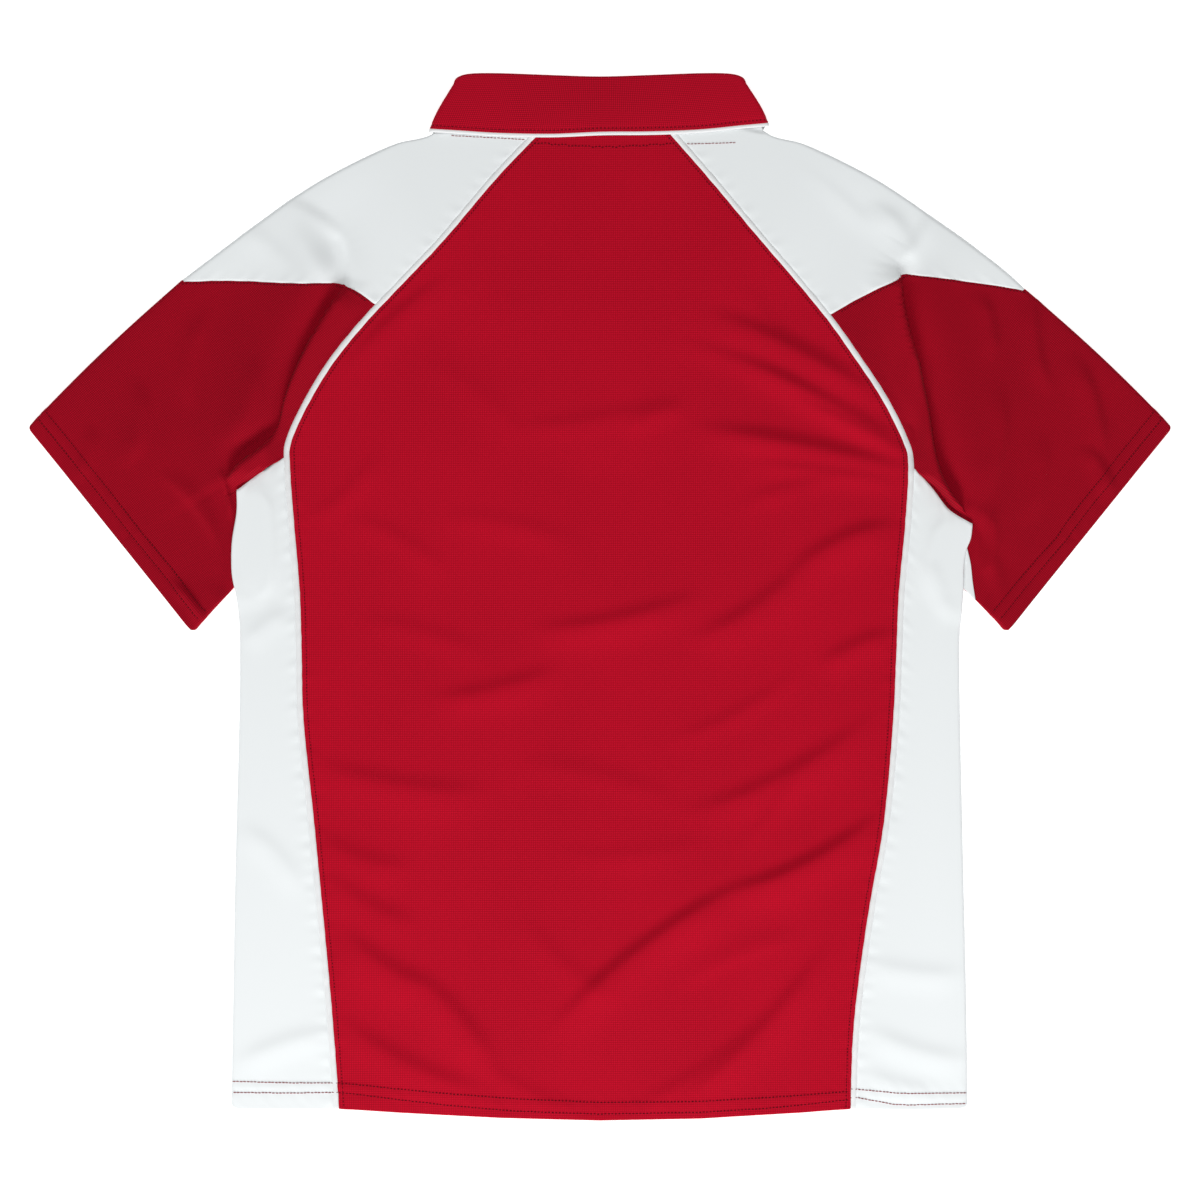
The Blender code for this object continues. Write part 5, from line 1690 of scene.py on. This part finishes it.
@dataclass
class Sleeve(SidePiece):
    """Red lower sleeve: a flattened tube from the cuff to the body, tucked at the armpit."""

    node: str = "sleeve"
    slot: str = "red_knit"
    flat: tuple[float, float] = (0.420, 0.250)
    area: float = 0.0730
    grain: Grain = Grain.SLEEVE
    rows: int = 118
    spans: tuple[int, ...] = (36, 46, 18, 16)
    edge_bow: float = 2.2       # of the upper fold
    tuck_gap: float = 0.5       # between the side panel's corner and the tuck
    tuck_power: float = 4.0     # how late the lines leave the lower fold for the tuck
    corner: float = 3.6
    topstitch: float = 3.0
    station_length: float = 16.0    # about what lies between two stations
    hem: HemStyle = field(default_factory=lambda: HemStyle(CUFF_ROWS))

    def inner_edge(self, side: SideCut, station: Array, on_front: bool) -> Array:
        """Join the sleeve's inner edge from three seams and the hidden tuck.

        Args:
            side: The side that it is on.
            station: Places along it, from the first to the last of SLEEVE_STATIONS.
            on_front: Whether it is the front layer's.
        Returns:
            Plan points.
        """
        _, seam_end, body_end, panel_end, _ = SLEEVE_STATIONS
        parts = [np.clip((station - low) / (high - low), 0.0, 1.0)
                 for low, high in zip(SLEEVE_STATIONS, SLEEVE_STATIONS[1:])]
        top, low = SLEEVE_SEAM_Y[self.hand], ARMPIT_Y[self.hand]
        heights = top + (low - top) * parts[1]
        beside = side.front_seam(heights, SEAM_GAP) if on_front else side.beside_piping(heights)
        corner = side.side_edge[0] + (0.0, self.tuck_gap)
        hidden = corner + (side.underarm[-1] - corner) * parts[3][:, None]
        station = station[:, None]
        return np.select([station < seam_end, station <= body_end, station <= panel_end],
                         [sleeve_seam(side, parts[0], on_front), beside,
                          armpit_seam(side, parts[2], on_front)], hidden)

    def layer(self, side: SideCut, station: Array, rows: Array, folds: list[Array],
              on_front: bool) -> Array:
        """Lay lines from the cuff to the inner edge, and draw them to both folds.

        Args:
            side: The side that it is on.
            station: Places along the inner edge.
            rows: Places from the cuff to the inner edge, from 0 to 1.
            folds: Plan points of the upper and the lower fold.
            on_front: Whether it is the front layer.
        Returns:
            Plan points, shape (rows, columns, 2).
        """
        top_fold, low_fold = folds
        share = np.interp(station, CUFF_SHARE["station"], CUFF_SHARE["share"])
        near_top = 1.0 - smooth_step(station, 0.0, SLEEVE_STATIONS[1])
        near_low = np.interp(station, TUCK_PULL["station"], TUCK_PULL["part"])
        inner = self.inner_edge(side, station, on_front)
        inner[-1] = low_fold[-1]
        cuff = top_fold[0] + (low_fold[0] - top_fold[0]) * share[:, None]
        rows = rows[:, None]
        line = cuff + (inner - cuff) * rows[..., None]
        top_pull = (top_fold - line[:, 0])[:, None]
        low_pull = (low_fold - line[:, -1])[:, None]
        line = line + top_pull * (near_top * (1.0 - rows))[..., None]
        line = line + low_pull * (near_low * (1.0 - rows ** self.tuck_power))[..., None]
        line[:-1, 0] = top_fold[:-1]
        line[:, -1] = low_fold
        return line

    def build(self) -> None:
        """Lay both layers, join them round both folds and sew the rows of stitches."""
        side = SIDES[self.hand]
        rows = fine_ends(self.rows, 230.0)
        stretches = [np.linspace(low, high, count, endpoint=False) for low, high, count
                     in zip(SLEEVE_STATIONS, SLEEVE_STATIONS[1:], self.spans)]
        station = np.concatenate([*stretches, SLEEVE_STATIONS[-1:]])
        top_edge = side.cuff[0] + (side.shoulder_edge[-1] - side.cuff[0]) * rows[:, None]
        top_out = normals_of(top_edge[::-1], side.turn)[::-1]
        top_edge = top_edge + top_out * (self.edge_bow * np.sin(math.pi * rows))[:, None]
        low_edge = at_fraction(side.underarm, rows)
        low_out = normals_of(low_edge, side.turn)
        folds = [inset_of(edge, out, DRAPE.sleeve(edge, side), DRAPE.front(edge))
                 for edge, out in ((top_edge, top_out), (low_edge, low_out))]
        behind, under = (self.layer(side, station, rows, folds, on_front)
                         for on_front in (False, True))
        from_inner = run_lengths(behind, 0, from_end=True)
        sewn = 1.0 - smooth_step(station, 17.0, SLEEVE_STATIONS[3])
        seam = edge_roll(from_inner, 0.5) + pucker(from_inner, station * self.station_length)
        height = DRAPE.sleeve(behind, side) + seam * sewn
        upper = surface(DRAPE.lean(behind, side), height)
        lower = surface(under, DRAPE.front(under))[:, ::-1]
        low_bend = turn_round(upper[:, -1], lower[:, 0], low_out, TURN_SPANS)
        top_bend = turn_round(upper[:, 0], lower[:, -1], top_out, TURN_SPANS)[:, ::-1]
        tube = np.concatenate([upper, low_bend, lower, top_bend], axis=1)
        tube = round_corners(tube, folds[1][0] - folds[0][0], self.corner, (True, True))
        closed = np.concatenate([tube, tube[:, :1]], axis=1)
        count = len(station)
        first, second = count - 1, 2 * count + TURN_SPANS - 2
        turns = [(first, first + TURN_SPANS, low_out), (second, second + TURN_SPANS, top_out)]
        flat = unroll(closed, turns, math.radians(self.grain.value) * -side.turn)
        from_cuff = run_lengths(tube, 0)
        along = np.cumsum(np.linalg.norm(np.diff(closed[0], axis=0), axis=-1))
        round_bend = np.linspace(0.9, 0.0, TURN_SPANS - 1)
        fade = np.concatenate([np.ones(count), round_bend, np.zeros(count), round_bend[::-1]])
        puff = self.hem.puff(from_cuff, along) * fade
        if self.hand is Hand.LEFT:
            turned, puff = (np.roll(part[:, ::-1], 1, axis=1) for part in (tube, puff))
            patch = Patch(self.node, turned, flat[:, ::-1], puff=puff, ring=True)
            skin = np.roll(patch.skin(), -1, axis=1)[:, ::-1]
        else:
            patch = Patch(self.node, tube, flat, puff=puff, ring=True)
            skin = patch.skin()
        stitches = self.sew(skin.swapaxes(0, 1)[:count], tube)
        self.rests_on = ("side_" + self.hand.value, *self.rests_on)
        self.enlist(patch.build(), RED_SLEEVE, [stitches])

    def sew(self, skin: Array, tube: Array) -> bpy.types.Object:
        """Sew two rows round the cuff and one along the shoulder's seam.

        Args:
            skin: The back layer's outer points and normals, one row for each station.
            tube: Points of the whole tube, shape (rows, columns, 3).
        Returns:
            The stitches.
        """
        from_cuff = run_lengths(tube, 0)[:, :len(skin)].T
        made = [StitchRow(line) for line in self.hem.lines(skin, from_cuff, 0.0)]
        shoulder = self.spans[0]
        from_inner = run_lengths(tube, 0, from_end=True)[:, :shoulder].T
        line = line_at(skin[:shoulder, ::-1], from_inner[:, ::-1], self.topstitch)
        made.append(StitchRow(line, pitch=2.6, length=1.7))
        return stitch_piece("sleeve_stitches_" + self.hand.value, made, DARK_THREAD)


@dataclass
class FrontPanel(SewnPiece):
    """The red front, which the shirt lies on, with its placket and buttons."""

    node: str = "front_panel"
    slot: str = "red_knit"
    flat: tuple[float, float] = (0.478, 0.715)
    area: float = 0.2860
    rests_on: tuple[str, ...] = ("floor",)
    rows: int = 170
    columns: int = 50
    neck_fade: float = 0.45

    def build(self) -> None:
        """Lay rows between the front seams, cut out for the placket."""
        left, right = SIDES[Hand.LEFT], SIDES[Hand.RIGHT]
        t = np.linspace(0.0, 1.0, self.rows)
        lines = []
        for side in (left, right):
            _, seam_end, armpit, low = side.end_heights()
            heights = np.interp(t, PANEL_PARTS, (BODY_SEAM["y"][1], seam_end, armpit, low))
            lines.append(side.front_seam(heights))
        start, end = lines
        cut = PLACKET_WIDTH / 2 + SEAM_GAP
        part = np.linspace(0.0, 1.0, self.columns)
        middle = np.linspace(-cut, cut, 9)[None, 1:-1]
        x = np.concatenate([start[:, :1] + (-cut - start[:, :1]) * part,
                            np.broadcast_to(middle, (len(t), middle.shape[1])),
                            cut + (end[:, :1] - cut) * part], axis=1)
        across = (x - start[:, :1]) / (end[:, :1] - start[:, :1])
        y = start[:, 1:] + (end[:, 1:] - start[:, 1:]) * across
        fade = 1.0 - smooth_step(t, 0.0, self.neck_fade)[:, None]
        y = y + (self.neckline(x[:1]) - y[:1]) * fade
        y = y + smooth_step(t, 0.8, 1.0)[:, None] * (hem_y(x[-1:]) - y[-1:])
        points = np.stack([x, y], -1)
        stop = int(np.argmin(np.abs(points[:, self.columns, 1] - PLACKET_END_Y)))
        keep = np.ones((len(t) - 1, points.shape[1] - 1), bool)
        keep[:stop, self.columns - 1:-self.columns + 1] = False
        grid = surface(points, DRAPE.front(points))[:, ::-1]
        flat = unroll(grid, [], 0.0)
        piece = Patch(self.node, grid, flat, keep=keep[:, ::-1]).build()
        self.enlist(piece, RED_BODY)
        band = points[:stop + 1, self.columns - 1:-self.columns + 1].copy()
        band[..., 0] *= (cut - SEAM_GAP) / cut
        Placket().build(band[:, ::-1])

    @staticmethod
    def neckline(x: Array) -> Array:
        """Return the front neckline: a power of the distance from the placket."""
        side_x, side_y = FRONT_NECK_SIDE
        beside = np.maximum(np.abs(x), PLACKET_WIDTH / 2 + SEAM_GAP)
        return FRONT_NECK_Y + (side_y - FRONT_NECK_Y) * (beside / side_x) ** FRONT_NECK_BEND


@dataclass
class Placket(SewnPiece):
    """Red placket band in the front's cut-out, with three buttons on it."""

    node: str = "placket"
    slot: str = "red_knit"
    flat: tuple[float, float] = (0.0325, 0.134)
    area: float = 0.0043
    rests_on: tuple[str, ...] = ("button_1", "button_2", "button_3")
    button_heights: tuple[float, ...] = (257.0, 208.0, 159.0)
    button_radius: float = 5.7
    button_thickness: float = 1.5
    pit_place: float = 1.5      # of the four pits for the thread, from the middle
    pit_radius: float = 0.6
    pit_depth: float = 0.6

    def build(self, band: Array) -> None:
        """Make the band, its edge stitches and the buttons.

        Args:
            band: Plan points of the cut-out, outside down.
        """
        grid = surface(band, DRAPE.front(band))
        patch = Patch(self.node, grid, grid[..., :2])
        skin = patch.skin()
        rows = [StitchRow(skin[:, column]) for column in (1, -2)]
        stitches = stitch_piece("placket_stitches", rows, DARK_THREAD)
        self.enlist(patch.build(), RED_BODY, [stitches])
        for number, height in enumerate(self.button_heights, start=1):
            self.build_button("button_%d" % number, height)

    def build_button(self, name: str, height: float) -> None:
        """Turn a button's section round: a dished face with a rounded rim, and four pits.

        Args:
            name: The button's node and piece.
            height: Its place along the placket.
        """
        radius, thick = self.button_radius, self.button_thickness
        profile = np.array([(0.02, 0.35), (0.30, 0.35), (0.55, 0.34), (0.66, 0.20),
                            (0.74, 0.03), (0.84, 0.0), (0.94, 0.08), (1.0, 0.35),
                            (1.0, 0.65), (0.95, 0.9), (0.85, 1.0), (0.4, 1.0), (0.02, 1.0)])
        profile = smooth_path(profile, 3)
        angle = np.linspace(0.0, 2 * math.pi, 49)[:-1]
        r = profile[:, :1] * radius
        x, y = r * np.cos(angle), r * np.sin(angle)
        z = np.broadcast_to(profile[:, 1:] * thick, x.shape).copy()
        lower = np.arange(len(profile))[:, None] < len(profile) // 2
        for quarter in range(4):
            turn = math.pi * (quarter + 0.5) / 2
            away = np.hypot(x - self.pit_place * math.cos(turn),
                            y - self.pit_place * math.sin(turn))
            z += np.where(lower, self.pit_depth * np.exp(-(away / self.pit_radius) ** 4), 0.0)
        grid = np.stack([x, y + height, z], -1)
        number = numbers(*grid.shape[:2])
        quads = quads_of(np.concatenate([number, number[:, :1]], axis=1))[..., [0, 3, 2, 1]]
        count = len(angle) // 2
        strip = np.arange(count - 1)
        caps = [np.column_stack([ring[strip], ring[-1 - strip], ring[-2 - strip],
                                 ring[strip + 1]]) for ring in (number[0], number[-1, ::-1])]
        faces = np.vstack([quads.reshape(-1, 4), *caps])
        points = grid.reshape(-1, 3)
        piece = mesh_object(name + "_turned", points, faces, points[faces][..., :2])
        dress(piece, RED_RESIN, name)


@dataclass
class CollarLevel:
    """One line round the collar.

    Attributes:
        left: Where it turns round the neck's side to the front, on the left.
        right: The same on the right.
        front_x: Where it ends on the front, from the middle.
        front_y: The same, up the shirt.
        z_back: Its height over the floor on the back.
        z_front: The same on the front.
        line: Plan points of its run on the back.
        drop: How much lower than that it comes to the front.
        on_neckline: Whether it follows the front panel's neckline.
    """

    left: float
    right: float
    front_x: float
    front_y: float
    z_back: float
    z_front: float
    line: Array
    drop: float = 0.0
    on_neckline: bool = False


NECK_LINE = table("x y", (-117, 365), (-49.5, 358.2), (56, 358.2), (115.5, 366.5))
COLLAR_TOP = table(
    "x y", (-113.5, 388.5), (-112, 393.5), (-108.5, 398), (-99, 400.4), (-77, 400.7), (-40, 399.4),
    (0, 398.2), (40, 399.4), (77, 400.7), (99, 400.4), (108.5, 398), (112, 393.5), (113.5, 388.5))
COLLAR_HANG = table(
    "x y", (-131, 360.2), (-108, 358.9), (-77, 357.1), (-38, 356.4), (0, 357.9), (38, 358.2),
    (77, 359.8), (108, 362.9), (129.5, 364.8))


@dataclass
class Collar(SewnPiece):
    """Red collar in one wall, stand and fall, with a white piped edge."""

    node: str = "collar"
    slot: str = "red_knit"
    flat: tuple[float, float] = (0.480, 0.105)
    area: float = 0.0480
    rests_on: tuple[str, ...] = ("back_panel", "front_panel")
    neckline_spans: int = 30
    side_spans: int = 18
    back_spans: int = 96
    stand_rows: int = 10
    fold_rows: int = 9
    fall_rows: int = 24
    neck_gap: float = 0.35          # beside the front's neckline and before the piping
    side_bow: float = 1.6
    piping_width: float = 2.3
    topstitch: float = 2.3
    dent: float = 0.4               # depth that the stitches draw in
    stitch_floor: float = 0.35      # the leaf's stitches sink into it, off the floor

    def levels(self) -> list[CollarLevel]:
        """Return the four lines: neck seam, stand's fold, fall's fold and fall's edge."""
        return [CollarLevel(-117.0, 115.5, 1.2, 270.0, 4.6, 2.3, plan(NECK_LINE),
                            on_neckline=True),
                CollarLevel(-110.0, 109.8, 1.2, 303.0, 4.4, 2.3, plan(COLLAR_TOP)),
                CollarLevel(-112.7, 112.5, 2.0, 303.0, 6.9, 0.7, plan(COLLAR_TOP)),
                CollarLevel(-131.0, 129.5, 54.0, 229.0, 6.0, 0.7, plan(COLLAR_HANG), drop=-0.8)]

    def front_line(self, level: CollarLevel, sign: float, side_point: Array) -> Array:
        """Return a level's plan points from the front's middle to the neck's side."""
        spans = self.neckline_spans + self.side_spans
        start = np.array([sign * level.front_x, level.front_y])
        if not level.on_neckline:
            return at_fraction(np.vstack([start, side_point]), np.linspace(0.0, 1.0, spans + 1))
        x = sign * np.linspace(abs(start[0]), FRONT_NECK_SIDE[0], self.neckline_spans + 1)
        neckline = np.column_stack([x, FrontPanel.neckline(x)])
        sides = neckline[-1] + (side_point - neckline[-1]) * np.linspace(
            0.0, 1.0, self.side_spans + 1)[1:, None]
        line = np.vstack([neckline, sides])
        line[:-1] += self.neck_gap * normals_of(line, -sign)[:-1]
        return line

    def ring(self, level: CollarLevel) -> Array:
        """Carry a level round the neck, from its left front end to its right one.

        Args:
            level: The level.
        Returns:
            Points, shape (n, 3).
        """
        inset = (level.z_back - level.z_front + RIB) / 2
        path = smooth_path(level.line)
        x = np.linspace(level.left + inset, level.right - inset, self.back_spans + 1)
        y = np.interp(x, path[:, 0], path[:, 1])
        back = np.column_stack([x, y, np.full(len(x), level.z_back)])
        parts = []
        for sign, corner in ((-1.0, back[0]), (1.0, back[-1])):
            line = self.front_line(level, sign, corner[:2] - (0.0, level.drop))
            front = surface(line, np.full(len(line), level.z_front))
            bend = turn_round(corner[None], front[-1:], np.array([[sign, 0.0]]), TURN_SPANS)[0]
            bend[:, 1] += np.interp(bend[:, 0], path[:, 0], path[:, 1]) - corner[1]
            parts.append(np.vstack([front, bend[::-1]]))
        return np.vstack([parts[0], back, parts[1][::-1]])

    def build(self) -> None:
        """Join the levels: stand up, round the fold in half circles, and down the fall."""
        seam, stand, fall, edge = (self.ring(level) for level in self.levels())
        rise = np.linspace(0.0, 1.0, self.stand_rows + 1)[:, None, None]
        hang = np.concatenate([np.linspace(0.0, 0.97, self.fall_rows),
                               [0.985, 1.0]])[:, None, None]
        angle = (np.arange(1, self.fold_rows) * math.pi / self.fold_rows)[:, None, None]
        run = np.gradient(stand, axis=0)
        slant = np.hypot(run[:, 0], run[:, 1]) / np.maximum(np.abs(run[:, 0]), 1e-6)
        ends = self.neckline_spans + self.side_spans
        slant[ends:-ends] = 1.0
        radius = (np.linalg.norm(fall - stand, axis=1) / 2 * slant)[:, None]
        fold = (stand + (fall - stand) * (1.0 - np.cos(angle)) / 2
                + np.sin(angle) * radius * np.array([0.0, 1.0, 0.0]))
        drop = fall + (edge - fall) * hang
        # The fall bows out at the neck's sides, and waves where it lies on the back
        bow = self.side_bow * np.sin(math.pi * hang[..., 0])
        outer = smooth_step(np.abs(drop[..., 0]), 92.0, 128.0) * np.sign(drop[..., 0])
        outer *= smooth_step(drop[..., 1], 320.0, 362.0)
        drop[..., 0] += bow * outer
        back = smooth_step(drop[..., 2], 4.5, 5.8)
        wave = 0.35 * np.sin(drop[..., 0] / 23.0 + 0.8) + 0.25 * np.sin(drop[..., 0] / 11.0)
        crown = 0.8 * np.sin(math.pi * np.clip(hang[..., 0] * 0.9, 0.0, 1.0))
        drop[..., 2] += back * (crown + wave * hang[..., 0])
        grid = np.concatenate([seam + (stand - seam) * rise, fold, drop])
        from_edge = run_lengths(grid, 0, from_end=True)
        dent = self.dent * np.exp(-((from_edge - self.topstitch) / 1.1) ** 2)
        patch = Patch(self.node, grid, self.flat_places(grid), wall=RIB, puff=-dent)
        skin = patch.skin().swapaxes(0, 1)[:, ::-1]
        line = line_at(skin, from_edge.T[:, ::-1], self.topstitch)
        line[:, 2] = np.maximum(line[:, 2], self.stitch_floor)
        rows = [StitchRow(line, pitch=3.0, radius=0.3, lift=0.08)]
        stitches = stitch_piece("collar_stitches", rows, DARK_THREAD)
        self.enlist(patch.build(), RED_COLLAR, [stitches])
        self.build_piping(drop)

    @staticmethod
    def flat_places(grid: Array) -> Array:
        """Lay the collar out: the place round the neck against the height up the wall."""
        across = run_lengths(grid, 1)[len(grid) // 2]
        up = run_lengths(grid, 0)[:, grid.shape[1] // 2]
        return np.stack(np.broadcast_arrays(across, up[:, None]), -1)

    def build_piping(self, drop: Array) -> None:
        """Carry the piping's round section along the fall's edge.

        Args:
            drop: The fall's points, down to its edge.
        """
        away = unit(drop[-1] - drop[-4])
        across = np.array([0.0, 0.15, 0.5, 1.1, 1.7, 2.3, 2.9, 3.25, 3.4])
        across = across * self.piping_width / across[-1]
        half = self.piping_width / 2
        crown = 0.45 * (1.0 - ((across - half) / half) ** 4)
        up = unit(np.cross(away, np.gradient(drop[-1], axis=0)))
        grid = (drop[-1] + (across[:, None, None] + self.neck_gap) * away
                + (crown - 0.25)[:, None, None] * up)
        sewn = SewnPiece("collar_piping", "piping_tape", (0.010, 0.520), 0.0024, ("back_panel",))
        run = lengths_along(drop[-1])
        flat = np.stack(np.broadcast_arrays(run, across[:, None]), -1)
        sewn.enlist(Patch(sewn.node, grid, flat, wall=1.0).build(), PIPING_TAPE)


@dataclass
class Studio:
    """Pale floor, soft lights and the camera straight above."""

    frame_width: float = 924.0      # what the picture takes in, across
    centre: tuple[float, float] = (0.0, -2.1)
    lens: float = 100.0
    sensor: float = 36.0
    floor_half: float = 4.0         # in metres
    floor_height: float = -0.3
    # Each light's name, place and size in metres, and power in watts
    lights: tuple[tuple, ...] = (("left_key", (-0.55, -2.6, 1.1), (1.2, 0.8), 45.0),
                                 ("right_key", (0.3, -2.6, 1.1), (1.2, 0.8), 39.0),
                                 ("left_fill", (-2.7, 0.6, 1.0), (1.0, 0.8), 12.0),
                                 ("right_fill", (2.7, 0.6, 1.0), (1.0, 0.8), 11.0),
                                 ("overhead", (0.0, 0.6, 3.2), (2.0, 2.0), 40.0))

    def build(self) -> None:
        """Make the floor, the lights, the world and the camera."""
        self.build_floor()
        for light in self.lights:
            self.build_light(*light)
        world = bpy.data.worlds.new("studio")
        world.use_nodes = True
        back = world.node_tree.nodes["Background"]
        back.inputs["Color"].default_value = (1.0, 1.0, 1.0, 1.0)
        back.inputs["Strength"].default_value = 0.2
        bpy.context.scene.world = world
        bpy.context.scene.view_settings.view_transform = "Standard"
        self.build_camera()
        LOG.info("studio ready")

    def build_floor(self) -> None:
        """Lay the floor: a flat grid just below the shirt."""
        line = np.linspace(-self.floor_half, self.floor_half, 9) / MM
        x, y = np.meshgrid(line, line, indexing="ij")
        points = np.stack([x, y, np.full(x.shape, self.floor_height)], -1)
        faces = quads_of(numbers(*x.shape)).reshape(-1, 4)
        points = points.reshape(-1, 3)
        floor = mesh_object("floor", points, faces, points[faces][..., :2])
        floor.data.materials.append(WHITE_BOARD.material())

    @staticmethod
    def build_light(name: str, place: tuple[float, float, float],
                    size: tuple[float, float], power: float) -> None:
        """Hang a soft rectangular light that faces the shirt.

        Args:
            name: The light's name.
            place: Where it hangs, in metres.
            size: Its width and length in metres.
            power: Its power in watts.
        """
        light = bpy.data.lights.new(name, "AREA")
        light.shape = "RECTANGLE"
        light.size, light.size_y = size
        light.energy = power
        lamp = bpy.data.objects.new(name, light)
        lamp.location = place
        lamp.rotation_euler = (-Vector(place)).to_track_quat("-Z", "Y").to_euler()
        bpy.context.collection.objects.link(lamp)

    def build_camera(self) -> None:
        """Put the camera above the shirt so that the frame's width fits its view."""
        data = bpy.data.cameras.new("camera")
        data.lens = self.lens
        data.sensor_width = self.sensor
        data.dof.use_dof = False
        data.clip_end = 20.0
        camera = bpy.data.objects.new("camera", data)
        distance = self.lens / self.sensor * self.frame_width
        camera.location = (self.centre[0] * MM, self.centre[1] * MM, distance * MM)
        bpy.context.collection.objects.link(camera)
        bpy.context.scene.camera = camera


def main() -> None:
    """Build and dress every piece, then the studio."""
    logging.basicConfig(level=logging.INFO, format="%(name)s: %(message)s")
    BackPanel().build()
    FrontPanel().build()
    for hand in Hand:
        Piping(hand=hand).build()
        Shoulder(hand=hand).build()
        SidePanel(hand=hand).build()
        Sleeve(hand=hand).build()
    Collar().build()
    Studio().build()


if __name__ == "__main__":
    main()
